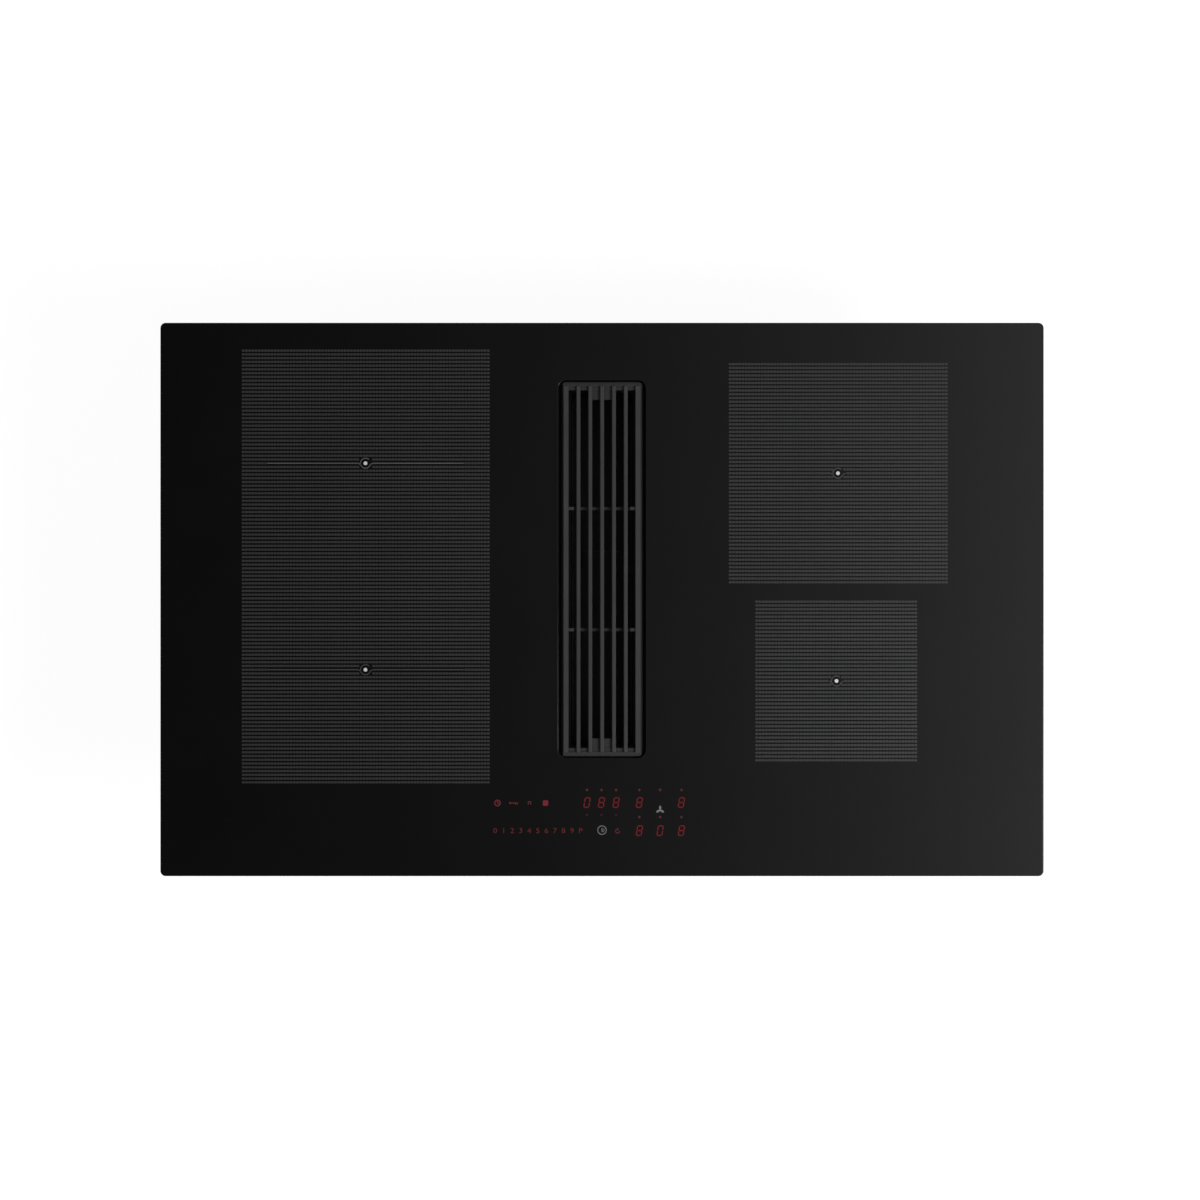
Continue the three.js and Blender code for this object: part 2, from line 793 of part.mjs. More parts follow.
const windingTop = glassBottom - windingDrop;
const carrierTop = windingTop - windingHeight - bondLine;
const carrierBottom = carrierTop - carrierThickness;

/** Flat spiral of litz strand, from the clear middle out to the zone's edge. */
function winding({ halfX, halfY, squareness }) {
  const stepsPerTurn = 12;
  const least = Math.min(halfX, halfY);
  const pitch = (least - windingInner) / (windingTurns + windingFill);
  const strand = pitch * windingFill;
  const points = range(windingTurns * stepsPerTurn + 1).map((i) => {
    const turn = i / stepsPerTurn;
    const reach = windingInner + strand / 2 + pitch * turn;
    const share = turn / windingTurns;
    const grow = (half) => reach + (half - least) * share;
    const round = 2 + (squareness - 2) * share;
    return superellipse(turn * 2 * Math.PI, grow(halfX), grow(halfY), round);
  });
  return prism(stripOutline(points, strand), windingTop - windingHeight, windingTop);
}

/** Aluminium plate under a winding, with its ferrite bars and the posts that it stands on. */
function coilCarrier({ halfX, halfY, squareness }) {
  const outline = new THREE.Shape(
    range(24).map((i) =>
      superellipse((i * Math.PI) / 12, halfX + carrierRim, halfY + carrierRim, squareness),
    ),
  );
  const sensorHole = new THREE.Path().absarc(0, 0, sensorRadius + slideGap, 0, 2 * Math.PI, true);
  const plate = prism(withHole(outline, sensorHole), carrierBottom, carrierTop);
  const least = Math.min(halfX, halfY);
  const bars = range(ferriteCount).map((i) =>
    block(
      windingInner,
      least - carrierRim,
      -ferriteWidth / 2,
      ferriteWidth / 2,
      carrierBottom - ferriteHeight,
      carrierBottom + carrierThickness / 2,
    ).rotateZ((i * 2 * Math.PI) / ferriteCount),
  );
  const postReach = least * 0.62;
  const posts = range(4).map((i) => {
    const angle = Math.PI / 4 + (i * Math.PI) / 2;
    const [x, y] = [postReach * Math.cos(angle), postReach * Math.sin(angle)];
    return upright(carrierPostRadius, plateTop + bondLine, carrierTop - 0.5, x, y, 8);
  });
  return join(plate, ...bars, ...posts);
}

/** Temperature sensor in the middle of a coil: a cap held up against the glass by its stem. */
function zoneSensor() {
  const profile = [
    [0, plateTop + bondLine],
    [sensorRadius - 1, plateTop + bondLine],
    [sensorRadius - 1, carrierTop],
    [sensorRadius - 3, carrierTop + 1],
    [sensorRadius - 3, glassSeat - 2.5],
    [sensorRadius, glassSeat - 1.5],
    [sensorRadius, glassSeat],
    [0, glassSeat],
  ].map(([radius, level]) => new THREE.Vector2(radius, level));
  return new THREE.LatheGeometry(profile, 12).rotateX(Math.PI / 2);
}

/** Plate that carries two coils, on four legs that stand on the pan's floor. */
function supportPlate(side) {
  const [near, far] = [side * plateInner, side * plateOuter];
  const [left, right] = [Math.min(near, far), Math.max(near, far)];
  const middle = [(left + right) / 2, (plateFront + plateRear) / 2];
  const outline = roundedRectangle(right - left, plateRear - plateFront, 8, ...middle);
  const plate = prism(outline, plateTop - plateThickness, plateTop);
  const legs = [left, right - plateThickness].flatMap((x) =>
    [plateFront + 12, plateRear - 12 - plateLegWidth].map((y) => {
      const top = plateTop - plateThickness / 2;
      return block(x, x + plateThickness, y, y + plateLegWidth, panFloor + bondLine, top);
    }),
  );
  return join(plate, ...legs);
}

// ---------------------------------------------------------------- electronics in the pan

const boardTop = panFloor + bondLine + boardStandoff + boardThickness;

/** Inverter board with its standoffs and its tallest parts, built round its own middle. */
function powerBoard(side) {
  const [halfWidth, halfDepth] = [boardWidth / 2, boardDepth / 2];
  const board = block(-halfWidth, halfWidth, -halfDepth, halfDepth, boardTop - boardThickness, boardTop);
  const standoffs = [-1, 1].flatMap((i) =>
    [-1, 1].map((j) => {
      const [x, y] = [i * (halfWidth - standoffInset), j * (halfDepth - standoffInset)];
      return upright(standoffRadius, panFloor + bondLine, boardTop - boardThickness / 2, x, y, 8);
    }),
  );
  const seat = boardTop - boardThickness / 2;
  const onBoard = (x, y, width, depth, height) =>
    block(x - width / 2, x + width / 2, y - depth / 2, y + depth / 2, seat, boardTop + height);
  const inside = -side * (halfWidth - boardPartInset);
  const filmCapacitors = range(4).map((i) => {
    const y = -halfDepth + capacitorMargin + i * capacitorPitch;
    return onBoard(inside, y, capacitorWidth, capacitorDepth, capacitorHeight);
  });
  const choke = upright(chokeRadius, seat, boardTop + chokeHeight, inside, halfDepth - chokeMargin, 16);
  const relays = range(3).map((i) => {
    const y = -halfDepth + relayMargin + i * relayPitch;
    return onBoard(side * (halfWidth - relayInset), y, relayWidth, relayDepth, relayHeight);
  });
  return join(board, ...standoffs, ...filmCapacitors, choke, ...relays);
}

/** Extruded heatsink that lies on the board along Y. */
function heatsink() {
  const base = boardTop + bondLine;
  const half = heatsinkWidth / 2;
  const plate = block(-half, half, -heatsinkLength / 2, heatsinkLength / 2, base, base + heatsinkBase);
  const fins = range(finCount).map((i) => {
    const x = -half + (i * (heatsinkWidth - finThickness)) / (finCount - 1);
    return block(
      x,
      x + finThickness,
      -heatsinkLength / 2,
      heatsinkLength / 2,
      base + heatsinkBase / 2,
      base + heatsinkHeight,
    );
  });
  return join(plate, ...fins);
}

const fanBottom = panFloor + bondLine;
const rotorBottom = fanBottom + fanWall + 1;
const rotorTop = fanBottom + fanHeight - fanWall - 1;

/** Case of a radial cooling fan: a mouth below, and a side outlet towards the heatsink. */
function fanCase() {
  const cavity = fanRotorRadius + 4;
  const body = prism(roundedRectangle(fanSize, fanSize, 6), fanBottom, fanBottom + fanHeight);
  const well = upright(cavity, fanBottom + fanWall, fanBottom + fanHeight - fanWall);
  const outlet = block(0, cavity, 0, fanSize, fanBottom + fanWall, fanBottom + fanHeight - fanWall);
  const mouth = upright(fanMouthRadius, fanBottom - 1, fanBottom + fanWall + 1);
  const bearing = upright(fanBearingRadius, rotorTop + bondLine, fanBottom + fanHeight - 1, 0, 0, 12);
  return join(cut(body, well, outlet, mouth), bearing);
}

/** Bladed rotor of a cooling fan. */
function fanRotor() {
  const hub = upright(fanHubRadius, rotorBottom, rotorTop, 0, 0, 20);
  const disc = upright(fanRotorRadius - 1, rotorTop - 1.5, rotorTop, 0, 0, 30);
  const blades = range(fanBladeCount).map((i) =>
    block(fanRotorRadius - 11, fanRotorRadius, -0.7, 0.7, rotorBottom, rotorTop - 0.5)
      .translate(-fanRotorRadius, 0, 0)
      .rotateZ(0.35)
      .translate(fanRotorRadius, 0, 0)
      .rotateZ((i * 2 * Math.PI) / fanBladeCount),
  );
  return join(hub, disc, ...blades);
}

// ---------------------------------------------------------------- touch controls

const consoleTop = glassSeat;
const consoleBottom = consoleTop - consoleHeight;
const consoleBoardTop = consoleTop - consoleBoardDrop;

/** Tray under the glass that holds the touch board, with a ledge inside it. */
function consoleTray() {
  const outline = () => roundedRectangle(consoleWidth, consoleDepth, 3);
  const shelf = consoleBoardTop - boardThickness - bondLine;
  const inner = (inset, bottom, top) =>
    prism(roundedRectangle(consoleWidth - 2 * inset, consoleDepth - 2 * inset, 1.5), bottom, top);
  return cut(
    prism(outline(), consoleBottom, consoleTop),
    inner(consoleWall, shelf, consoleTop + 1),
    inner(consoleWall + 3, consoleBottom + consoleWall, shelf + 1),
  );
}

/** Touch board. */
function touchBoard() {
  const inset = consoleWall + slideGap;
  const [halfWidth, halfDepth] = [consoleWidth / 2 - inset, consoleDepth / 2 - inset];
  const [low, high] = [consoleBoardTop - boardThickness, consoleBoardTop];
  return block(-halfWidth, halfWidth, -halfDepth, halfDepth, low, high);
}

/** LED module on the touch board that covers a box of the glass, from its corners in the part's frame. */
function displayModule(x0, x1, y0, y1) {
  return block(x0, x1, y0, y1, consoleBoardTop + bondLine, consoleTop - bondLine);
}

// ---------------------------------------------------------------- air box

const chamberWidth = -plenumWidth / 2 - chamberLeft;
const chamberX = (chamberLeft - plenumWidth / 2) / 2;
const chamberY = (chamberRear + chamberFront) / 2;

/** Plan of the plenum, grown outwards, as a prism. */
function plenumPrism(grow, bottom, top) {
  const outline = roundedRectangle(
    plenumWidth + 2 * grow,
    plenumLength + 2 * grow,
    boxRadius + grow,
    0,
    openingY,
  );
  return prism(outline, bottom, top);
}

/** Plan of the suction chamber, run into the plenum on its right, as a prism. */
function chamberPrism(grow, bottom, top) {
  const outline = roundedRectangle(
    chamberWidth + 2 * grow + 2 * boxRadius,
    chamberDepth + 2 * grow,
    boxRadius + grow,
    chamberX + boxRadius,
    chamberY,
  );
  return prism(outline, bottom, top);
}

/** Both plans joined: the L-shaped outline of the air box. */
const boxPrism = (grow, bottom, top) =>
  join(plenumPrism(grow, bottom, top), chamberPrism(grow, bottom, top));

/** Upper shell: roof and walls over plenum and suction chamber, with the hole for the collar. */
function airBoxUpper() {
  const lipTop = deckTop + lipThickness;
  const collarHole = prism(
    roundedRectangle(
      neckOuterWidth + 2 * slideGap,
      neckOuterLength + 2 * slideGap,
      throatRadius,
      0,
      openingY,
    ),
    boxTop - boxWall - 1,
    boxTop + 1,
  );
  const outside = join(boxPrism(0, deckTop, boxTop), boxPrism(lipWidth, deckTop, lipTop));
  return cut(outside, boxPrism(-boxWall, deckTop - 1, boxTop - boxWall), collarHole);
}

const lowerTop = deckTop - bondLine;
const lowerDeckBottom = lowerTop - lipThickness;
const drawerSlotHeight = drawerHeight + 2 * slideGap;
const drawerFloor = unitBottom + boxWall;
const sumpTop = lowerDeckBottom - bondLine;

/** Lower shell: the deck over the blower, with the hole for its eye and the one over the sump. */
function airBoxLower() {
  const eye = eyeRadius + eyeRingWall + bondLine;
  return cut(
    boxPrism(lipWidth, lowerDeckBottom, lowerTop),
    plenumPrism(-boxWall, lowerDeckBottom - 1, lowerTop + 1),
    upright(eye, lowerDeckBottom - 1, lowerTop + 1, blowerX, blowerY),
  );
}

/** Sump under the deck: walls and floor, a flange where nothing is beside it, and the drawer's slot. */
function dripSump() {
  const front = openingY - plenumLength / 2;
  const halfSlot = drawerWidth / 2 + slideGap;
  const slotTop = drawerFloor + drawerSlotHeight;
  const besideBlower = block(
    -plenumWidth,
    -plenumWidth / 2 + lipWidth,
    chamberFront - lipWidth,
    chamberRear + 2 * lipWidth,
    sumpTop - lipThickness - 1,
    sumpTop + 1,
  );
  return cut(
    join(
      plenumPrism(0, unitBottom, sumpTop),
      cut(plenumPrism(lipWidth, sumpTop - lipThickness, sumpTop), besideBlower),
    ),
    plenumPrism(-boxWall, drawerFloor, sumpTop + 1),
    block(-halfSlot, halfSlot, front - 1, front + boxRadius, drawerFloor, slotTop),
  );
}

/** Ring in the deck's eye that guides the air into the impeller, with a flange under the deck. */
function blowerInletRing() {
  const outer = eyeRadius + eyeRingWall;
  const bottom = lowerDeckBottom - eyeRingDrop;
  const profile = [
    [eyeRadius, bottom],
    [outer, bottom],
    [outer, sumpTop - eyeRingThickness],
    [outer + eyeRingFlange, sumpTop - eyeRingThickness],
    [outer + eyeRingFlange, sumpTop],
    [outer, sumpTop],
    [outer, lowerTop],
    [outer - eyeRingWall / 3, lowerTop],
    [eyeRadius, lowerDeckBottom],
    [eyeRadius, bottom],
  ].map(([radius, level]) => new THREE.Vector2(radius, level));
  return new THREE.LatheGeometry(profile, circleSteps).rotateX(Math.PI / 2);
}

/** Drip drawer: a tray on the sump's floor with a front that laps the slot and a grip. */
function dripDrawer() {
  const front = openingY - plenumLength / 2;
  const bottom = drawerFloor + bondLine;
  const top = bottom + drawerHeight;
  const half = drawerWidth / 2;
  const rear = front + plenumLength - drawerRearRoom;
  const tray = cut(
    block(-half, half, front - bondLine - 1, rear, bottom, top),
    block(
      -half + drawerWall,
      half - drawerWall,
      front + boxWall,
      rear - drawerWall,
      bottom + drawerWall,
      top + 1,
    ),
  );
  const face = front - bondLine;
  const frontHalf = half + drawerFrontLap;
  const frontPanel = block(
    -frontHalf,
    frontHalf,
    face - drawerFrontThickness,
    face,
    bottom,
    top + drawerFrontLap,
  );
  const grip = block(
    -half / 2,
    half / 2,
    face - drawerGrip,
    face - drawerFrontThickness / 2,
    top + drawerFrontLap - drawerFrontThickness,
    top + drawerFrontLap,
  );
  return join(tray, frontPanel, grip);
}

// ---------------------------------------------------------------- blower, built round its own axis

const voluteTop = sumpTop;
const voluteFloor = unitBottom + boxWall;
const outletRear = chamberRear - blowerY;
const outletRight = voluteEnd;
const outletLeft = outletRight - ductWidth;
const ductX = (outletLeft + outletRight) / 2;
const ductZ = (voluteTop + unitBottom) / 2;

/** Spiral part of the volute's plan, from the tongue round to the outlet, moved out by grow. */
function scrollOutline(grow) {
  const start = THREE.MathUtils.degToRad(tongueAngle);
  const steps = 26;
  return new THREE.Shape(
    range(steps + 1).map((i) => {
      const share = i / steps;
      const angle = start + (2 * Math.PI - start) * share;
      const radius = voluteStart + (voluteEnd - voluteStart) * share + grow;
      return new THREE.Vector2(radius * Math.cos(angle), radius * Math.sin(angle));
    }),
  );
}

/** Outlet part of the volute's plan: it widens from the tongue to the duct; moved out by grow. */
function outletOutline(grow, rearGrow = grow) {
  const start = THREE.MathUtils.degToRad(tongueAngle);
  const tongue = new THREE.Vector2(Math.cos(start), Math.sin(start)).multiplyScalar(voluteStart);
  const corner = new THREE.Vector2(outletLeft - ductFlange, outletRear);
  const along = corner.clone().sub(tongue).normalize();
  const outwards = new THREE.Vector2(-along.y, along.x);
  const near = tongue.addScaledVector(outwards, grow);
  const far = near.clone().addScaledVector(along, (outletRear + rearGrow - near.y) / along.y);
  return new THREE.Shape([
    new THREE.Vector2(near.x, -grow),
    new THREE.Vector2(outletRight + grow, -grow),
    new THREE.Vector2(outletRight + grow, outletRear + rearGrow),
    far,
    near,
  ]);
}

/** Both parts of the volute's plan joined, as a prism. */
const volutePrism = (grow, rearGrow, bottom, top) =>
  join(prism(scrollOutline(grow), bottom, top), prism(outletOutline(grow, rearGrow), bottom, top));

/** Volute: spiral wall, floor, a lip under the deck and a rear wall with the outlet. */
function voluteHousing() {
  const outside = join(
    volutePrism(0, 0, unitBottom, voluteTop),
    volutePrism(lipWidth / 2, 0, voluteTop - lipThickness, voluteTop),
  );
  const inside = volutePrism(-boxWall, -boxWall, voluteFloor, voluteTop + 1);
  const halfWidth = ductWidth / 2 - ductWall;
  const halfHeight = ductHeight / 2 - ductWall;
  const outlet = block(
    ductX - halfWidth,
    ductX + halfWidth,
    outletRear - boxWall - 1,
    outletRear + 1,
    ductZ - halfHeight,
    ductZ + halfHeight,
  );
  const motorHole = upright(motorHoleRadius, unitBottom - 1, voluteFloor + 1);
  return cut(outside, inside, outlet, motorHole);
}

const motorBase = voluteFloor + bondLine;
const motorTop = motorBase + motorFlangeThickness + motorHeight;
const impellerBottom = voluteFloor + impellerFloorGap;
const impellerTop = voluteTop - impellerTopGap;
const hubTop = motorTop + 6;
const shaftTop = hubTop + 4;

/** Motor: a mounting flange on the volute's floor, the wound body and the fixed part of its shaft. */
function blowerMotor() {
  const flangeTop = motorBase + motorFlangeThickness;
  const profile = [
    [0, unitBottom + 0.5],
    [motorHoleRadius - 4, unitBottom + 0.5],
    [motorHoleRadius - 2, unitBottom + 1.5],
    [motorHoleRadius - 2, motorBase],
    [motorFlangeRadius, motorBase],
    [motorFlangeRadius, flangeTop],
    [motorRadius - 4, flangeTop],
    [motorRadius - 4, flangeTop + 3],
    [motorRadius, flangeTop + 6],
    [motorRadius, motorTop - 4],
    [motorRadius - 4, motorTop],
    [0, motorTop],
  ].map(([radius, level]) => new THREE.Vector2(radius, level));
  const body = new THREE.LatheGeometry(profile, circleSteps).rotateX(Math.PI / 2);
  const bore = upright(shaftRadius + bondLine, motorTop - 20, motorTop + 1, 0, 0, 16);
  return cut(body, bore);
}

/** Shaft, which turns with the impeller. */
function motorShaft() {
  return upright(shaftRadius, motorTop - 19, shaftTop, 0, 0, 16);
}

/** Impeller: hub cup over the motor, back plate, forward-curved blades and a shroud ring. */
function impeller() {
  const hub = motorRadius + 5;
  const plateTopLevel = impellerBottom + motorFlangeThickness + impellerPlate;
  const plateLow = plateTopLevel - impellerPlate;
  const profile = [
    [shaftRadius + bondLine / 3, hubTop - 3],
    [hub - 8, hubTop - 3],
    [hub - 1.5, hubTop - 11],
    [hub - 1.5, plateLow],
    [impellerRadius, plateLow],
    [impellerRadius, plateTopLevel],
    [hub + 3, plateTopLevel],
    [hub + 1, plateTopLevel + 3],
    [hub + 1, hubTop - 9],
    [hub - 7, hubTop],
    [shaftRadius + 5, hubTop],
    [shaftRadius + 5, hubTop + 3],
    [shaftRadius + bondLine / 3, hubTop + 3],
    [shaftRadius + bondLine / 3, hubTop - 3],
  ].map(([radius, level]) => new THREE.Vector2(radius, level));
  const hubAndPlate = new THREE.LatheGeometry(profile, circleSteps).rotateX(Math.PI / 2);
  const shroud = prism(
    withHole(
      new THREE.Shape(new THREE.Path().absarc(0, 0, impellerRadius, 0, 2 * Math.PI, false).getPoints(18)),
      new THREE.Path(new THREE.Path().absarc(0, 0, impellerInner, 0, 2 * Math.PI, true).getPoints(18)),
    ),
    impellerTop - impellerPlate,
    impellerTop,
  );
  const sweep = THREE.MathUtils.degToRad(bladeSweep);
  const line = range(3).map((i) => {
    const share = i / 2;
    const radius = impellerInner + 1 + (impellerRadius - impellerInner - 2) * share;
    const angle = sweep * share * share;
    return new THREE.Vector2(radius * Math.cos(angle), radius * Math.sin(angle));
  });
  const blades = range(bladeCount).map((i) =>
    prism(stripOutline(line, bladeThickness), plateTopLevel - 1, impellerTop - 1).rotateZ(
      (i * 2 * Math.PI) / bladeCount,
    ),
  );
  return join(hubAndPlate, shroud, ...blades);
}

/** Spigot for the flat duct, with its flange on the volute's rear wall. Built round the duct's axis. */
function ductSpigot() {
  const face = outletRear + bondLine;
  const tube = (width, height, radius, near, far) =>
    prism(roundedRectangle(width, height, radius), near, far)
      .rotateX(-Math.PI / 2)
      .rotateY(Math.PI);
  const flange = tube(
    ductWidth + 2 * ductFlange,
    ductHeight + 2 * ductWall,
    ductRadius,
    face,
    face + ductFlangeThickness,
  );
  const pipe = tube(ductWidth, ductHeight, ductRadius, face, face + ductReach);
  const bore = tube(
    ductWidth - 2 * ductWall,
    ductHeight - 2 * ductWall,
    ductRadius - ductWall,
    face - 1,
    face + ductReach + 1,
  );
  return cut(join(flange, pipe), bore);
}

// ---------------------------------------------------------------- boxes under the pan

/** Open-bottomed box of the extractor's controls, hung under the pan round its own middle. */
function openBox(width, length, height, wall, radius) {
  return cut(
    prism(roundedRectangle(width, length, radius), boxTop - height, boxTop),
    prism(
      roundedRectangle(width - 2 * wall, length - 2 * wall, radius - wall),
      boxTop - height - 1,
      boxTop - wall,
    ),
  );
}

/** Lid that closes such a box from below. */
function boxLid(width, length, height, radius) {
  const top = boxTop - height - bondLine;
  return bevelledPrism(roundedRectangle(width, length, radius), top - lidThickness, top, 0.5);
}

/** Terminal box, with a round way in for the mains lead in its rear wall. */
function terminalBox() {
  const wayIn = new THREE.CylinderGeometry(glandRadius, glandRadius, 12, 20).translate(
    0,
    terminalLength / 2,
    boxTop - terminalHeight / 2,
  );
  return cut(openBox(terminalWidth, terminalLength, terminalHeight, controlBoxWall, 4), wayIn);
}

/** Gland in the terminal box's way in. */
function cableGland() {
  const stem = glandRadius - bondLine;
  const bore = glandRadius - 4;
  const profile = [
    [bore, -controlBoxWall - 2],
    [stem, -controlBoxWall - 2],
    [stem, bondLine],
    [glandRadius + 2.5, bondLine],
    [glandRadius + 2.5, 6],
    [glandRadius, glandLength],
    [bore, glandLength],
    [bore, -controlBoxWall - 2],
  ].map(([radius, level]) => new THREE.Vector2(radius, level));
  return new THREE.LatheGeometry(profile, 16);
}

/** Terminal block inside the terminal box. */
function terminalBlock() {
  const top = boxTop - controlBoxWall - bondLine;
  const half = terminalWidth / 2 - 14;
  const body = block(-half, half, -9, 6, top - 14, top);
  const ways = range(5).map((i) => {
    const x = (i - 2) * (half / 2.6);
    return block(x - 3.5, x + 3.5, -10, 0, top - 15, top - 4);
  });
  return cut(body, ...ways);
}

// ---------------------------------------------------------------- assembly

const hob = group(
  0,
  0,
  0,
  piece('glass_top', glassPlate(), blackGlass),
  piece('sealing_tape', sealingTape(), foam),
  piece('base_pan', basePan(), galvanised),
);

for (const [side, label] of [
  [-1, 'left'],
  [1, 'right'],
]) {
  for (const [end, place] of [
    [-1, 'front'],
    [1, 'rear'],
  ]) {
    const spring = piece(`side_spring_${place}_${label}`, sideSpring(), stainless);
    spring.rotation.z = side < 0 ? Math.PI : 0;
    hob.add(group((side * panWidth) / 2, end * springY, 0, spring));
  }
  hob.add(
    piece(`coil_support_plate_${label}`, supportPlate(side), aluminium),
    group(side * boardX, boardY, 0, piece(`power_board_${label}`, powerBoard(side), circuitBoard)),
    group(side * heatsinkX, boardY, 0, piece(`heatsink_${label}`, heatsink(), aluminium)),
    group(
      side * fanX,
      fanY,
      0,
      piece(`cooling_fan_case_${label}`, fanCase(), blackPlastic),
      piece(`cooling_fan_rotor_${label}`, fanRotor(), greyPlastic),
    ),
  );
}

for (const [name, zone] of Object.entries(zones)) {
  hob.add(
    group(
      zone.x,
      zone.y,
      0,
      piece(`coil_winding_${name}`, winding(zone), copper),
      piece(`coil_carrier_${name}`, coilCarrier(zone), ferriteBlack),
      piece(`zone_sensor_${name}`, zoneSensor(), whitePlastic),
    ),
  );
}

const digitHalf = digitWidth / 2 + 1;
const rearRow = glassFront + rearDigitMargin + digitDepth / 2;
const frontRow = glassFront + frontDigitMargin - digitDepth / 2;
const timerX = consoleRight - timerDigitInset;
const leftDigitX = consoleRight - leftDigitInset;
const fanDigitX = consoleRight - fanDigitInset;
const rightDigitX = consoleRight - rightDigitInset;
const displays = [
  ['timer_display', timerX, timerX + 2 * timerDigitPitch, rearRow - digitDepth, rearRow],
  ['zone_display_left', leftDigitX, leftDigitX, frontRow, rearRow],
  ['fan_display', fanDigitX, fanDigitX, frontRow, frontRow + digitDepth],
  ['zone_display_right', rightDigitX, rightDigitX, frontRow, rearRow],
];
hob.add(
  group(
    consoleX,
    consoleY,
    0,
    piece('control_tray', consoleTray(), greyPlastic),
    piece('touch_board', touchBoard(), circuitBoard),
  ),
  ...displays.map(([name, first, last, front, rear]) =>
    piece(name, displayModule(first - digitHalf, last + digitHalf, front, rear), redDisplay),
  ),
);

const inlet = group(
  0,
  openingY,
  0,
  piece('grille', grille(), castIron),
  piece('grille_pad_front', grillePad(-1), siliconeGrey),
  piece('grille_pad_rear', grillePad(1), siliconeGrey),
  piece('inlet_frame', inletFrame(), blackSteel),
  piece('filter_basket', filterBasket(), blackSteel),
  piece('filter_mesh_left', filterMesh(-1), blackSteel),
  piece('filter_mesh_right', filterMesh(1), blackSteel),
  group(0, 0, pivotLevel, piece('filter_handle', filterHandle(), blackSteel)),
);

const airBox = group(
  0,
  0,
  0,
  piece('air_box_upper', airBoxUpper(), blackPlastic),
  piece('air_box_lower', airBoxLower(), blackPlastic),
  piece('drip_sump', dripSump(), blackPlastic),
  piece('drip_drawer', dripDrawer(), greyPlastic),
);

const blower = group(
  blowerX,
  blowerY,
  0,
  piece('volute_housing', voluteHousing(), blackPlastic),
  piece('blower_motor', blowerMotor(), galvanised),
  piece('motor_shaft', motorShaft(), stainless),
  piece('impeller', impeller(), greyPlastic),
  piece('blower_inlet_ring', blowerInletRing(), greyPlastic),
  group(ductX, 0, ductZ, piece('duct_spigot', ductSpigot(), blackPlastic)),
);

const underBoxes = group(
  0,
  0,
  0,
  group(
    controlBoxX,
    controlBoxY,
    0,
    piece(
      'extractor_control_box',
      openBox(controlBoxWidth, controlBoxLength, controlBoxHeight, controlBoxWall, 6),
      blackPlastic,
    ),
    piece(
      'extractor_control_lid',
      boxLid(controlBoxWidth, controlBoxLength, controlBoxHeight, 6),
      blackPlastic,
    ),
  ),
  group(
    terminalX,
    terminalY,
    0,
    piece('terminal_box', terminalBox(), greyPlastic),
    piece('terminal_lid', boxLid(terminalWidth, terminalLength, terminalHeight, 4), greyPlastic),
    piece('terminal_block', terminalBlock(), whitePlastic),
    group(
      0,
      terminalLength / 2,
      boxTop - terminalHeight / 2,
      piece('cable_gland', cableGland(), blackPlastic),
    ),
  ),
);

const cooktop = new THREE.Group();
cooktop.add(hob, inlet, airBox, blower, underBoxes);

export default cooktop;
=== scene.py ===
"""Looks of a black induction cooktop with a downdraft extractor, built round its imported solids.

Lengths are millimetres in the object's frame (+X to the cook's right, -Y towards the cook, z = 0 on the
worktop) until a piece is finished, when its mesh is scaled to metres.
"""

import json
import logging
import math
from dataclasses import dataclass, replace
from enum import Enum
from typing import Callable, Iterable, Sequence, Union

import bmesh
import bpy
from mathutils import Matrix, Vector

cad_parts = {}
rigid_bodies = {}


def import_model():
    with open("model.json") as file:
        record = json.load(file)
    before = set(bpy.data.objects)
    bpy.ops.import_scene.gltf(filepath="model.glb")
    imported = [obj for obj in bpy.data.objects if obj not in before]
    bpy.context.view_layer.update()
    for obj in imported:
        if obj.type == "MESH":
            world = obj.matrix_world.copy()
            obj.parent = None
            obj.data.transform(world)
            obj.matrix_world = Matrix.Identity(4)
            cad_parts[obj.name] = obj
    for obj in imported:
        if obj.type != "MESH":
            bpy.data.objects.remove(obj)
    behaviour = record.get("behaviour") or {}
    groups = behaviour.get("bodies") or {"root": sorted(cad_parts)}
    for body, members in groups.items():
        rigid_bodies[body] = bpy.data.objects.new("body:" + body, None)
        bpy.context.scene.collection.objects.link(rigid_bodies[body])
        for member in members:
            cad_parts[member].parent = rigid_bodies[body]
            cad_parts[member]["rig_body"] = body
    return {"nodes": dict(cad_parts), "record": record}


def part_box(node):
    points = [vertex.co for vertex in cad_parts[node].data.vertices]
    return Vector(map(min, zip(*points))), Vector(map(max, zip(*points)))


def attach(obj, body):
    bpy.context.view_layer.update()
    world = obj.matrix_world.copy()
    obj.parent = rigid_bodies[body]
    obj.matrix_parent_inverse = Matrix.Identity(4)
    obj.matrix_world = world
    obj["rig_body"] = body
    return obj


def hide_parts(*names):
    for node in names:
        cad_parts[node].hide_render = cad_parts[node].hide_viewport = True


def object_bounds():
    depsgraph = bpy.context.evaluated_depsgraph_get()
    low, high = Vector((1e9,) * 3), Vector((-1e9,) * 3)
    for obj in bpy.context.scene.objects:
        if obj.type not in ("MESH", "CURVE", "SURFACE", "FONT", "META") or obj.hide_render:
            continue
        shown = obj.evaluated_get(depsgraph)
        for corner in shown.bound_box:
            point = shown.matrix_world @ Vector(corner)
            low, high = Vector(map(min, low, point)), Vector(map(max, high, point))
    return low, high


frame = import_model()
CAD_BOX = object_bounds()

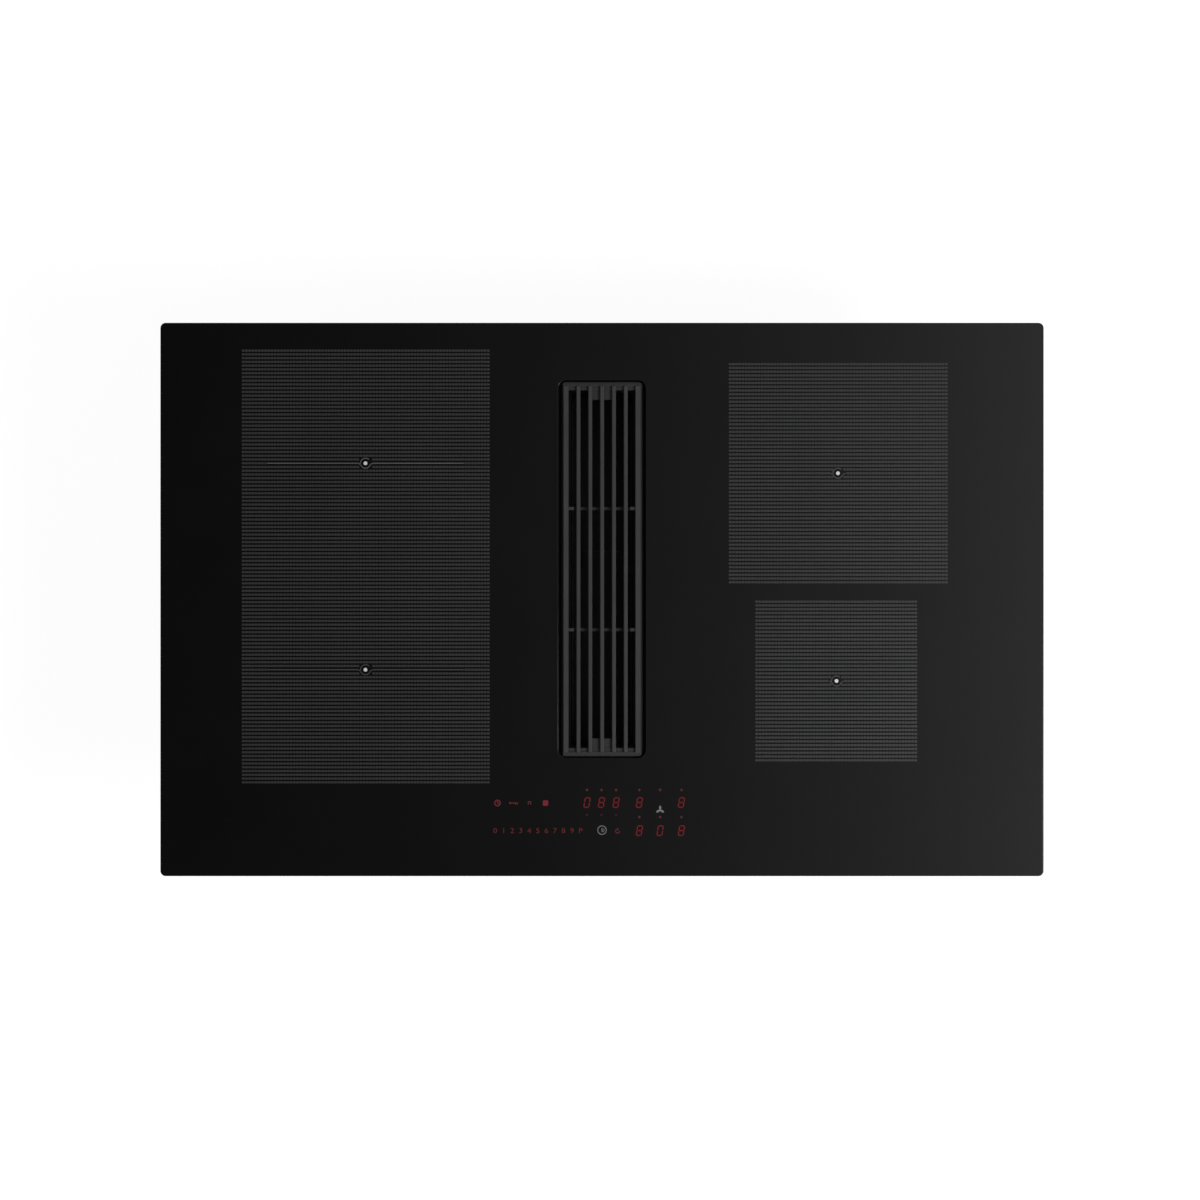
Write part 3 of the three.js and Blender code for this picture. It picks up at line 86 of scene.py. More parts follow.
MM = 0.001
SIDES = {"left": -1, "right": 1}
SAME_PLACE = 0.001  # points nearer than this are one, or lie at one level
FLAT = 0.4  # degrees; faces that meet at less are one face
SHARP = 40.0  # degrees; edges sharper than this are bevelled
UNDERSIDE_DEPTH = 1.0  # how far the moulded floors are sunk inside their margins
FLOOR_RIB = (0.1, UNDERSIDE_DEPTH + 0.2)  # ribs in a sunk floor, over the solid's lowest level
PRINT_LIFT = 0.1  # how far prints and lit signs lie over the glass
log = logging.getLogger("cooktop")

Colour = tuple[float, float, float]
Point = Sequence[float]


# ---- shader kit


def _operator(operation: str, reflected: bool = False) -> Callable[["Wire", "Value"], "Wire"]:
    """Makes a method that adds one Math node.

    Args:
        operation: What the node does.
        reflected: True where the wire stands second.

    Returns:
        The method.
    """

    def apply(self: "Wire", other: "Value") -> "Wire":
        """Returns the new node's output."""
        return self.calculate(operation, *((other, self) if reflected else (self, other)))

    return apply


class Wire:
    """A socket that takes part in Python arithmetic: each operator adds one Math node."""

    def __init__(self, graph: "Graph", socket: bpy.types.NodeSocket) -> None:
        """Wraps socket, an output of a node in graph."""
        self.graph = graph
        self.socket = socket

    def calculate(self, operation: str, *values: "Value") -> "Wire":
        """Returns the output of a new Math node that works on values."""
        return self.graph.node("ShaderNodeMath", {"operation": operation}, dict(enumerate(values)))

    def beside(self, name: str) -> "Wire":
        """Another output of the same node."""
        return Wire(self.graph, self.socket.node.outputs[name])

    def exp(self) -> "Wire":
        """e to this power."""
        return self.calculate("EXPONENT", self)

    __add__ = __radd__ = _operator("ADD")
    __sub__, __rsub__ = _operator("SUBTRACT"), _operator("SUBTRACT", True)
    __mul__ = __rmul__ = _operator("MULTIPLY")
    __truediv__, __rtruediv__ = _operator("DIVIDE"), _operator("DIVIDE", True)
    __gt__, __lt__ = _operator("GREATER_THAN"), _operator("LESS_THAN")
    least, most = _operator("MINIMUM"), _operator("MAXIMUM")


Value = Union[Wire, float, int, Sequence[float]]


class Graph:
    """The node tree of a material or of the world, and the ways to add to it."""

    def __init__(self, tree: bpy.types.NodeTree) -> None:
        """Starts from an empty tree."""
        self.tree = tree
        tree.nodes.clear()

    def node(
        self, kind: str, settings: dict | None = None, sockets: dict | None = None, out: int | str = 0
    ) -> Wire:
        """Adds one node.

        Args:
            kind: The node's Blender type.
            settings: Its properties, set first; "stops" are a colour ramp's (position, colour) pairs.
            sockets: Values or wires for its inputs, by name or number.
            out: The output that is handed back.

        Returns:
            That output.
        """
        made = self.tree.nodes.new(kind)
        for key, value in (settings or {}).items():
            if key == "stops":
                self._fill_ramp(made.color_ramp, value)
            else:
                setattr(made, key, value)
        for key, value in (sockets or {}).items():
            self.feed(made.inputs[key], value)
        return Wire(self, made.outputs[out])

    def feed(self, socket: bpy.types.NodeSocket, value: Value) -> None:
        """Links a wire to an input, or sets the input to a constant."""
        if isinstance(value, Wire):
            self.tree.links.new(value.socket, socket)
        elif isinstance(value, (int, float)) or len(socket.default_value) == len(value):
            socket.default_value = value
        else:
            socket.default_value = (*value, 1.0)

    @staticmethod
    def _fill_ramp(ramp: bpy.types.ColorRamp, stops: Sequence[tuple[float, Colour]]) -> None:
        """Gives a colour ramp its stops."""
        while len(ramp.elements) < len(stops):
            ramp.elements.new(1.0)
        for element, (position, colour) in zip(ramp.elements, stops):
            element.position = position
            element.color = (*colour, 1.0)

    def place(self, stretch: Point = (1, 1, 1), turn: Point = (0, 0, 0)) -> Wire:
        """Object coordinates in metres, stretched and turned by a Mapping node."""
        coordinates = self.node("ShaderNodeTexCoord", out="Object")
        sockets = {"Vector": coordinates, "Rotation": turn, "Scale": stretch}
        return self.node("ShaderNodeMapping", {"vector_type": "POINT"}, sockets)

    def noise(self, where: Wire, scale: float, detail: float = 3, roughness: float = 0.5) -> Wire:
        """Noise at a number of features per metre."""
        sockets = {"Vector": where, "Scale": scale, "Detail": detail, "Roughness": roughness}
        return self.node("ShaderNodeTexNoise", {}, sockets, "Fac")

    def cells(self, where: Wire, scale: float, out: str = "Distance") -> Wire:
        """Voronoi cells at a number of cells per metre."""
        return self.node("ShaderNodeTexVoronoi", {"feature": "F1"}, {"Vector": where, "Scale": scale}, out)

    def waves(self, where: Wire, scale: float, direction: str, distortion: float = 0.0) -> Wire:
        """Bands across one direction."""
        settings = {"wave_type": "BANDS", "bands_direction": direction, "wave_profile": "SIN"}
        sockets = {"Vector": where, "Scale": scale, "Distortion": distortion}
        return self.node("ShaderNodeTexWave", settings, sockets)

    def ramp(self, value: Value, stops: Sequence[tuple[float, Colour]]) -> Wire:
        """Colours along a value from 0 to 1."""
        return self.node("ShaderNodeValToRGB", {"stops": stops}, {"Fac": value}, "Color")

    def mix(self, share: Value, first: Value, second: Value, blend: str = "MIX") -> Wire:
        """Mixes two colours by share."""
        settings = {"data_type": "RGBA", "blend_type": blend}
        return self.node("ShaderNodeMix", settings, {0: share, 6: first, 7: second}, 2)

    def bump(self, height: Wire, depth: float, strength: float = 1.0, under: Wire | None = None) -> Wire:
        """A normal from a height; depth is the height's real depth in millimetres."""
        sockets = {"Height": height, "Distance": depth * MM, "Strength": strength}
        if under is not None:
            sockets["Normal"] = under
        return self.node("ShaderNodeBump", {}, sockets, "Normal")

    def end(self, shader: Wire, kind: str = "ShaderNodeOutputMaterial") -> None:
        """Links a shader to the tree's output node."""
        self.feed(self.tree.nodes.new(kind).inputs["Surface"], shader)


# ---- finishes


def shade(colour: Colour, factor: float) -> Colour:
    """A colour made lighter or darker."""
    return tuple(min(1.0, c * factor) for c in colour)


@dataclass(frozen=True)
class Finish:
    """What every finish has: its name, the record's slot, its colour and its roughness."""

    name: str
    slot: str
    colour: Colour
    roughness: float

    def sockets(self, g: Graph) -> dict[str, Value]:
        """The shader's inputs; each finish has its own."""
        raise NotImplementedError

    def tone(self, g: Graph, value: Wire, *stops: tuple[float, float]) -> Wire:
        """The colour along a value; stops are (position, how much lighter or darker) pairs."""
        return g.ramp(value, [(position, shade(self.colour, factor)) for position, factor in stops])

    def rough(self, value: Wire, span: float) -> Wire:
        """The roughness, spread over a span by a value."""
        return value * span + (self.roughness - span / 2)

    def material(self) -> bpy.types.Material:
        """The finish as a Blender material, made once."""
        found = bpy.data.materials.get(self.name)
        if found is None:
            found = bpy.data.materials.new(self.name)
            found.use_nodes = True
            found.diffuse_color = (*self.colour, 1.0)
            graph = Graph(found.node_tree)
            graph.end(graph.node("ShaderNodeBsdfPrincipled", {}, self.sockets(graph), "BSDF"))
        return found


@dataclass(frozen=True)
class GlassCeramic(Finish):
    """Black glass-ceramic: nearly black, glossy, with the faint waviness of a rolled plate."""

    def sockets(self, g: Graph) -> dict[str, Value]:
        """Slow tone changes, faint smears in the gloss, a very flat swell."""
        where = g.place()
        return {
            "Base Color": self.tone(g, g.noise(where, 9, 4, 0.55), (0.25, 0.82), (0.75, 1.18)),
            "Roughness": self.rough(g.noise(g.place((1, 4, 1)), 30, 5, 0.6), 0.05),
            "IOR": 1.5,
            "Normal": g.bump(g.noise(where, 18, 2), 0.02, 0.25),
        }


@dataclass(frozen=True)
class CeramicInk(Finish):
    """Screen print burnt into the glass."""

    def sockets(self, g: Graph) -> dict[str, Value]:
        """Fine specks and a slightly uneven tone."""
        where = g.place()
        speck = g.noise(where, 1400, 2)
        return {
            "Base Color": self.tone(g, speck * 0.5 + g.noise(where, 14) * 0.5, (0.3, 0.85), (0.7, 1.15)),
            "Roughness": self.rough(speck, 0.1),
            "Specular IOR Level": 0.3,
            "Normal": g.bump(speck, 0.01, 0.4),
        }


@dataclass(frozen=True)
class Glow(Finish):
    """Light from below the glass, through a cut in its black backing."""

    def sockets(self, g: Graph) -> dict[str, Value]:
        """The unevenness of one lamp behind a diffuser."""
        spot = g.noise(g.place(), 380, 2)
        return {
            "Base Color": self.tone(g, spot, (0.2, 0.06), (0.8, 0.1)),
            "Roughness": self.roughness,
            "Specular IOR Level": 0.3,
            "Emission Color": self.tone(g, spot, (0.2, 0.75), (0.8, 1.2)),
            "Emission Strength": 1.0,
        }


@dataclass(frozen=True)
class CastCoat(Finish):
    """Matt coating on a casting.

    Where the levels of painted shade are given, shade is painted into the colour: it grows darker below the
    first level, down to the second (millimetres), as recesses that lie in shade would look.
    """

    grain: float = 0.12
    # levels (millimetres) of the painted shade, and the factor it darkens the colour by at the lower level
    painted_shade_levels: tuple[float, float] | None = None
    painted_shade_share: float = 0.52

    def sockets(self, g: Graph) -> dict[str, Value]:
        """Sand grain, pits, a tone that changes from place to place, and painted shade low down where its
        levels are given.
        """
        where = g.place()
        sand = g.noise(where, 900, 4, 0.65)
        tone = self.tone(g, g.noise(where, 28, 4) * 0.6 + sand * 0.4, (0.3, 0.8), (0.7, 1.2))
        # painted shade: the colour darkens with depth below the upper level, standing in for the shade in
        # recesses
        if self.painted_shade_levels:
            upper, lower = (level * MM for level in self.painted_shade_levels)
            height = g.node("ShaderNodeSeparateXYZ", {}, {"Vector": where}, "Z")
            depth = ((upper - height) / (upper - lower)).most(0.0).least(1.0)
            tone = g.mix(depth, tone, (self.painted_shade_share,) * 3, "MULTIPLY")
        return {
            "Base Color": tone,
            "Roughness": self.rough(sand, 0.16),
            "Specular IOR Level": 0.28,
            "Normal": g.bump(g.cells(where, 420), self.grain * 0.5, 0.35, g.bump(sand, self.grain, 0.7)),
        }


@dataclass(frozen=True)
class Spangle(Finish):
    """Galvanised sheet: zinc spangles that differ a little in tone and gloss."""

    def sockets(self, g: Graph) -> dict[str, Value]:
        """Flat crystals of zinc, with a rolled grain over them."""
        crystal = g.cells(g.place(), 170, "Color")
        value = g.node("ShaderNodeSeparateColor", {}, {"Color": crystal}, 0)
        grain = g.noise(g.place((1, 30, 1)), 60)
        return {
            "Base Color": self.tone(g, value * 0.65 + grain * 0.35, (0.1, 0.88), (0.9, 1.1)),
            "Roughness": self.rough(value, 0.1),
            "Metallic": 0.9,
            "Normal": g.bump(grain, 0.02, 0.4),
        }


@dataclass(frozen=True)
class DrawnMetal(Finish):
    """Metal drawn or brushed along one direction."""

    stretch: tuple[float, float, float] = (1.0, 40.0, 1.0)
    fineness: float = 50

    def sockets(self, g: Graph) -> dict[str, Value]:
        """Long fine streaks and slow stains."""
        streak = g.noise(g.place(self.stretch), self.fineness, 4, 0.6)
        mixed = streak * 0.7 + g.noise(g.place(), 22, 4) * 0.3
        return {
            "Base Color": self.tone(g, mixed, (0.25, 0.8), (0.75, 1.12)),
            "Roughness": self.rough(streak, 0.14),
            "Metallic": 1.0,
            "Normal": g.bump(streak, 0.015, 0.5),
        }


@dataclass(frozen=True)
class Moulded(Finish):
    """Moulded plastic."""

    grain: float = 0.05

    def sockets(self, g: Graph) -> dict[str, Value]:
        """Eroded grain, slow flow marks, and gloss that wear has changed in patches."""
        where = g.place()
        grain = g.noise(where, 1100, 3, 0.6)
        flow = g.noise(g.place((1, 2.5, 1)), 16, 4, 0.6)
        return {
            "Base Color": self.tone(g, flow * 0.6 + grain * 0.4, (0.28, 0.82), (0.72, 1.2)),
            "Roughness": self.rough(g.noise(where, 45, 5, 0.65), 0.18),
            "Normal": g.bump(grain, self.grain, 0.5),
        }


@dataclass(frozen=True)
class Rubbery(Finish):
    """Foam or silicone: soft, cellular, without gloss."""

    cell: float = 1500

    def sockets(self, g: Graph) -> dict[str, Value]:
        """Small cells in a matt skin."""
        where = g.place()
        cell, cloud = g.cells(where, self.cell), g.noise(where, 60)
        return {
            "Base Color": self.tone(g, cell * 0.5 + cloud * 0.5, (0.2, 0.75), (0.8, 1.3)),
            "Roughness": self.rough(cloud, 0.1),
            "Normal": g.bump(cell, 0.08, 0.5),
        }


@dataclass(frozen=True)
class Litz(Finish):
    """Copper litz cable: strands twisted round each other under lacquer."""

    def sockets(self, g: Graph) -> dict[str, Value]:
        """Slanted strands with lacquer that has darkened in places."""
        strands = g.waves(g.place(turn=(0, 0, 0.7)), 420, "X", 1.5)
        mixed = strands * 0.6 + g.noise(g.place(), 35, 4) * 0.4
        return {
            "Base Color": self.tone(g, mixed, (0.2, 0.45), (0.8, 1.15)),
            "Roughness": self.rough(strands, 0.1),
            "Metallic": 0.85,
            "Normal": g.bump(strands, 0.25, 0.8),
        }


@dataclass(frozen=True)
class PrintedBoard(Finish):
    """Circuit board: lacquer over copper tracks, with tinned pads."""

    tin: Colour = (0.62, 0.6, 0.56)

    def sockets(self, g: Graph) -> dict[str, Value]:
        """Straight tracks from two crossed bands, pads from cells."""
        where = g.place()
        across = g.waves(where, 130, "X") > 0.72
        along = g.waves(where, 110, "Y") > 0.78
        patch = g.noise(where, 40, 1) > 0.52
        track = across * patch + along * (1 - patch)
        pad = g.cells(where, 210) < 0.16
        return {
            "Base Color": g.mix(pad, g.mix(track, self.colour, shade(self.colour, 1.9)), self.tin),
            "Roughness": self.roughness,
            "Metallic": pad * 0.8,
            "Normal": g.bump(track, 0.05, 0.6),
        }


@dataclass(frozen=True)
class Fired(Finish):
    """Fired ceramic or ferrite: dense and slightly grainy."""

    def sockets(self, g: Graph) -> dict[str, Value]:
        """Fine grain with paler flecks."""
        where = g.place()
        grain = g.noise(where, 260, 5, 0.7)
        return {
            "Base Color": self.tone(g, g.cells(where, 700) * 0.4 + grain * 0.6, (0.2, 0.78), (0.8, 1.2)),
            "Roughness": self.rough(grain, 0.12),
            "Normal": g.bump(grain, 0.05, 0.5),
        }


GLASS = GlassCeramic("black_glass_ceramic", "black_glass", (0.0031, 0.0031, 0.0033), 0.09)
INK = CeramicInk("grey_dash_ink", "black_glass", (0.026, 0.026, 0.0265), 0.4)
INK_LINE = CeramicInk("bright_line_ink", "black_glass", (0.066, 0.066, 0.068), 0.4)
INK_FINE_LINE = CeramicInk("fine_line_ink", "black_glass", (0.037, 0.037, 0.038), 0.4)
INK_DOT = CeramicInk("white_dot_ink", "black_glass", (0.56, 0.56, 0.57), 0.45)
RED_DIGIT = Glow("red_digit_glow", "black_glass", (0.148, 0.012, 0.016), 0.12)
RED_SIGN = Glow("red_sign_glow", "black_glass", (0.122, 0.018, 0.025), 0.12)
RED_FIELD = Glow("red_field_glow", "black_glass", (0.148, 0.018, 0.028), 0.12)
RED_SCALE = Glow("red_scale_glow", "black_glass", (0.098, 0.019, 0.019), 0.12)
RED_FAINT = Glow("faint_red_glow", "black_glass", (0.086, 0.025, 0.027), 0.12)
WHITE_SIGN = Glow("white_sign_glow", "black_glass", (0.125, 0.125, 0.13), 0.12)
FAN_SIGN = Glow("fan_sign_glow", "black_glass", (0.165, 0.16, 0.165), 0.12)
# painted shade: the casting's colour darkens from z 6.3 mm down to 3.9 mm, over the steps and tabs between
# the bars
CASTING = CastCoat("matt_black_casting", "grille_casting", (0.027, 0.027, 0.0275), 0.6, painted_shade_levels=(6.3, 3.9))
SHEET_BLACK = CastCoat("black_coated_sheet", "black_steel", (0.012, 0.012, 0.0125), 0.5, 0.03)
GALVANISED = Spangle("galvanised_sheet", "galvanised_steel", (0.50, 0.51, 0.52), 0.38)
SPRING = DrawnMetal("spring_strip", "spring_steel", (0.55, 0.54, 0.52), 0.3, (40.0, 1.0, 1.0))
ALUMINIUM = DrawnMetal("bare_aluminium_sheet", "bare_aluminium", (0.68, 0.69, 0.70), 0.36)
# painted shade: the expanded mesh is given a near-black colour that stands in for the shade deep under the
# grille's slots
MESH_METAL = CastCoat("painted_shade_mesh", "filter_mesh_metal", (0.022, 0.022, 0.023), 0.5, 0.03)
POLISHED = DrawnMetal("polished_wire", "polished_steel", (0.62, 0.61, 0.60), 0.16, (1, 1, 1), 300)
BLACK_PLASTIC = Moulded("black_moulding", "black_plastic", (0.017, 0.017, 0.018), 0.46)
GREY_PLASTIC = Moulded("grey_moulding", "grey_plastic", (0.075, 0.078, 0.083), 0.5)
FOAM = Rubbery("foam_tape", "sealing_foam", (0.02, 0.02, 0.02), 0.9)
SILICONE = Rubbery("silicone_pad", "silicone", (0.05, 0.05, 0.052), 0.7, 400)
COPPER = Litz("copper_litz_cable", "copper_litz", (0.72, 0.33, 0.17), 0.35)
CARRIER = Fired("ferrite_and_carrier", "coil_carrier_metal", (0.06, 0.06, 0.065), 0.55)
CERAMIC = Fired("white_fired_ceramic", "white_ceramic", (0.74, 0.73, 0.69), 0.45)
BOARD = PrintedBoard("green_circuit_board", "circuit_board", (0.012, 0.075, 0.03), 0.35)
LED_MODULE = Moulded("red_led_module", "red_display", (0.16, 0.012, 0.014), 0.3, 0.01)
SCREW = DrawnMetal("zinc_screw", "polished_steel", (0.46, 0.45, 0.42), 0.3, (1, 1, 1), 260)

FINISH_OF_SLOT = {
    finish.slot: finish
    for finish in (
        GLASS, CASTING, SHEET_BLACK, GALVANISED, SPRING, ALUMINIUM, MESH_METAL, POLISHED, BLACK_PLASTIC,
        GREY_PLASTIC, FOAM, SILICONE, COPPER, CARRIER, CERAMIC, BOARD, LED_MODULE,
    )
}


# ---- mesh kit


class Axis(Enum):
    """Direction in which a turned shape points: the turn that takes +Z there."""

    X = ("Y", math.pi / 2)
    Y = ("X", -math.pi / 2)
    Z = ("Z", 0.0)

    @property
    def turn(self) -> Matrix:
        """Rotation from +Z to this axis."""
        name, angle = self.value
        return Matrix.Rotation(angle, 4, name)


@dataclass(frozen=True)
class Box:
    """A box in millimetres: a CAD node's, or one that a detail takes."""

    x0: float
    x1: float
    y0: float
    y1: float
    z0: float
    z1: float

    @classmethod
    def of(cls, node: str) -> "Box":
        """The box of a CAD node at rest."""
        low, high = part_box(node)
        return cls(*(v / MM for pair in zip(low, high) for v in pair))

    @property
    def middle(self) -> Vector:
        """Its centre."""
        return Vector(((self.x0 + self.x1) / 2, (self.y0 + self.y1) / 2, (self.z0 + self.z1) / 2))

    @property
    def size(self) -> Vector:
        """Its lengths along X, Y and Z."""
        return Vector((self.x1 - self.x0, self.y1 - self.y0, self.z1 - self.z0))


def row(count: int, first: float, pitch: float) -> list[float]:
    """Evenly spaced numbers."""
    return [first + index * pitch for index in range(count)]


def polar(centre: Point, degrees: float, radius: float) -> Vector:
    """The flat point at a radius from centre, in the direction of an angle."""
    angle = math.radians(degrees)
    return Vector(centre) + Vector((math.cos(angle), math.sin(angle))) * radius


def placed(name: str, data: bpy.types.ID) -> bpy.types.Object:
    """Adds an object to the scene and returns it."""
    made = bpy.data.objects.new(name, data)
    bpy.context.scene.collection.objects.link(made)
    return made


def verts_in(geometry: Iterable) -> list[bmesh.types.BMVert]:
    """The vertices among mixed geometry."""
    return [item for item in geometry if isinstance(item, bmesh.types.BMVert)]


class Shape:
    """A mesh that grows by bmesh operators, in millimetres in the object's frame.

    Prints and signs are drawn flat at z = 0 and lifted onto the glass when they are finished.
    """

    def __init__(self) -> None:
        """Starts empty."""
        self.bm = bmesh.new()

    @classmethod
    def of_node(cls, node: str) -> "Shape":
        """A copy of a CAD node's mesh, merged and freed of the edges inside its flat faces."""
        shape = cls()
        bm = shape.bm
        bm.from_mesh(frame["nodes"][node].data)
        bmesh.ops.scale(bm, vec=(1 / MM,) * 3, verts=bm.verts)
        bmesh.ops.remove_doubles(bm, verts=bm.verts, dist=SAME_PLACE)
        bmesh.ops.dissolve_limit(bm, angle_limit=math.radians(FLAT), verts=bm.verts, edges=bm.edges)
        return shape

    def _bevel(
        self, geometry: list, width: float, segments: int, affect: str = "EDGES", clamp: bool = False
    ) -> None:
        """Bevels edges, or the corners of a flat face."""
        bmesh.ops.bevel(
            self.bm, geom=geometry, offset=width, affect=affect, segments=segments, profile=0.5, material=-1,
            clamp_overlap=clamp,
        )

    def box(self, box: Box, bevel: float, segments: int = 2) -> None:
        """Adds a box with bevelled edges."""
        matrix = Matrix.Translation(box.middle) @ Matrix.Diagonal((*box.size, 1.0))
        verts = bmesh.ops.create_cube(self.bm, size=1.0, matrix=matrix)["verts"]
        self._bevel(list({edge for vert in verts for edge in vert.link_edges}), bevel, segments)

    def ribs(self, places: Iterable[float], box: Box, across: str, half: float, bevel: float) -> None:
        """Adds a box at each place.

        Args:
            places: Where the ribs' middles are, along one direction.
            box: Their extents along the other two.
            across: That one direction: x, y or z.
            half: Half their thickness.
            bevel: Width of the bevel on their edges.
        """
        for place in places:
            self.box(replace(box, **{f"{across}0": place - half, f"{across}1": place + half}), bevel)

    def cone(
        self, centre: Point, low: float, high: float, radius: float, top_radius: float, axis: Axis,
        segments: int, recess: float = 0.0, recess_radius: float = 0.0,
    ) -> None:
        """Adds a cylinder or cone, with a recess in its far end if one is asked for.

        Args:
            centre: A point on its axis.
            low: Its near end, along the axis from centre.
            high: Its far end, on either side of the near one.
            radius: Radius at the near end.
            top_radius: Radius at the far end.
            axis: Its direction.
            segments: Its sides.
            recess: Depth of the recess.
            recess_radius: Radius of the recess.
        """
        turn = Matrix.Translation(Vector(centre)) @ axis.turn
        matrix = turn @ Matrix.Translation((0, 0, (low + high) / 2))
        if high < low:
            matrix = matrix @ Matrix.Rotation(math.pi, 4, "X")
        verts = bmesh.ops.create_cone(
            self.bm, cap_ends=True, segments=segments, radius1=radius, radius2=top_radius,
            depth=abs(high - low), matrix=matrix,
        )["verts"]
        if recess:
            end = turn @ Vector((0, 0, high))
            faces = {face for vert in verts for face in vert.link_faces}
            cap = min(faces, key=lambda face: (face.calc_center_median() - end).length)
            bmesh.ops.inset_region(
                self.bm, faces=[cap], thickness=top_radius - recess_radius, use_even_offset=True
            )
            inward = -cap.normal * recess
            floor = bmesh.ops.extrude_face_region(self.bm, geom=[cap])["geom"]
            bmesh.ops.translate(self.bm, verts=verts_in(floor), vec=inward)
            if cap.is_valid:
                bmesh.ops.delete(self.bm, geom=[cap], context="FACES_ONLY")

    def screws(self, points: Iterable[Point], axis: Axis, out: float, radius: float) -> None:
        """Adds pan-head screws with sockets; out is how far, and which way, the heads stand out."""
        buried, taper, socket_depth, socket, sides = 0.4, 0.82, 0.55, 0.42, 18
        for at in points:
            self.cone(
                at, -out * buried, out, radius, radius * taper, axis, sides, abs(out) * socket_depth,
                radius * socket,
            )

    def _sheet(self, matrix: Matrix, corner: float, steps: int) -> None:
        """Adds a unit square put in place by matrix, its corners rounded or cut off in some steps."""
        verts = bmesh.ops.create_grid(self.bm, x_segments=1, y_segments=1, size=0.5, matrix=matrix)["verts"]
        if corner:
            self._bevel(verts, corner, steps, "VERTICES")

    def outline(self, width: float, depth: float, radius: float, middle: Point, steps: int) -> None:
        """Adds a flat rectangle of one face with rounded corners."""
        self._sheet(Matrix.Translation(middle) @ Matrix.Diagonal((width, depth, 1.0, 1.0)), radius, steps)

    def ring(
        self, outer: tuple[float, float, float], inner: tuple[float, float, float], middle: Point,
        inner_middle: Point, thickness: float, bevels: tuple[float, float], steps: int,
    ) -> None:
        """Makes this empty shape a flat plate with an opening, both of them rounded rectangles.

        Args:
            outer: Width, depth and corner radius of the plate.
            inner: The same of the opening.
            middle: Centre of the plate, at its upper face.
            inner_middle: Centre of the opening.
            thickness: How far it reaches down.
            bevels: Width of the bevel on its upper outer edge and round the opening.
            steps: Faces in each corner.
        """
        self.outline(*outer, middle, steps)
        hole = Shape()
        hole.outline(*inner, inner_middle, steps)
        self.take(hole)
        bm = self.bm
        loops = list(bm.edges)
        bmesh.ops.delete(bm, geom=list(bm.faces), context="FACES_ONLY")
        bmesh.ops.bridge_loops(bm, edges=loops)
        made = bmesh.ops.extrude_face_region(bm, geom=list(bm.faces))["geom"]
        bmesh.ops.translate(bm, verts=verts_in(made), vec=(0, 0, -thickness))
        bmesh.ops.recalc_face_normals(bm, faces=bm.faces)
        reach = Vector(inner[:2]) / 2 + Vector((0.01, 0.01))

        def at_opening(edge: bmesh.types.BMEdge) -> bool:
            """True for an edge round the opening."""
            away = edge.verts[0].co - Vector(inner_middle)
            return abs(away.x) < reach.x and abs(away.y) < reach.y

        for width, inside in zip(bevels, (False, True)):
            self.bevel_sharp(
                width, 4, chosen=lambda edge: self._level(edge, middle[2]) and at_opening(edge) == inside
            )

    @staticmethod
    def _level(part: bmesh.types.BMEdge | bmesh.types.BMFace, level: float) -> bool:
        """True where the whole of an edge or face lies at a level."""
        return all(abs(vert.co.z - level) < SAME_PLACE for vert in part.verts)

    def bevel_sharp(
        self, width: float, segments: int = 2, angle: float = SHARP,
        chosen: Callable[[bmesh.types.BMEdge], bool] | None = None,
    ) -> "Shape":
        """Bevels sharp edges.

        Args:
            width: Width of the bevels.
            segments: Steps in each bevel.
            angle: Edges sharper than this many degrees are bevelled.
            chosen: Picks some of them; without it all are, clamped so that they don't overlap.

        Returns:
            The shape itself.
        """
        edges = [
            edge
            for edge in self.bm.edges
            if len(edge.link_faces) == 2
            and edge.calc_face_angle(0.0) > math.radians(angle)
            and (chosen is None or chosen(edge))
        ]
        self._bevel(edges, width, segments, clamp=chosen is None)
        return self

    def sink(self, level: float, margin: float, depth: float, slope: float = 0.8) -> None:
        """Sinks the flat faces at one level, except a margin round them."""
        flat = [face for face in self.bm.faces if self._level(face, level)]
        bmesh.ops.inset_region(self.bm, faces=flat, thickness=margin)
        bmesh.ops.inset_region(self.bm, faces=flat, thickness=slope, depth=-depth)

    def strip(self, start: Point, end: Point, width: float, clip: float = 0) -> None:
        """Adds a flat bar from start to end, its corners cut off by clip."""
        first, last = Vector((*start, 0)), Vector((*end, 0))
        line = last - first
        matrix = (
            Matrix.Translation((first + last) / 2)
            @ Matrix.Rotation(math.atan2(line.y, line.x), 4, "Z")
            @ Matrix.Diagonal((line.length, width, 1.0, 1.0))
        )
        self._sheet(matrix, clip, 1)

    def strokes(self, centre: Point, width: float, *lines: tuple[float, float, float, float]) -> None:
        """Adds flat bars; lines are their ends' X and Y, measured from centre."""
        x, y = centre
        for x0, y0, x1, y1 in lines:
            self.strip((x + x0, y + y0), (x + x1, y + y1), width)

    def disc(self, centre: Point, radius: float, segments: int) -> None:
        """Adds a flat disc."""
        matrix = Matrix.Translation((*centre, 0))
        bmesh.ops.create_circle(self.bm, cap_ends=True, segments=segments, radius=radius, matrix=matrix)

    def arc(self, centre: Point, radius: float, width: float, start: float, sweep: float, steps: int) -> None:
        """Adds a flat curved bar; start and sweep are in degrees."""
        ends = [
            self.bm.verts.new((*polar(centre, start, radius + side * width / 2), 0)) for side in (-1, 1)
        ]
        edge = self.bm.edges.new(ends)
        bmesh.ops.spin(
            self.bm, geom=[*ends, edge], cent=(*centre, 0), axis=(0, 0, 1), angle=math.radians(sweep),
            steps=steps, use_merge=abs(sweep) >= 360, use_normal_flip=False,
        )

    def take(self, other: "Shape", matrix: Matrix | None = None) -> None:
        """Adds another shape's mesh, moved by matrix, to this one and empties the other."""
        mesh = bpy.data.meshes.new("taken")
        other.bm.to_mesh(mesh)
        if matrix is not None:
            mesh.transform(matrix)
        self.bm.from_mesh(mesh)
        bpy.data.meshes.remove(mesh)
        other.bm.free()

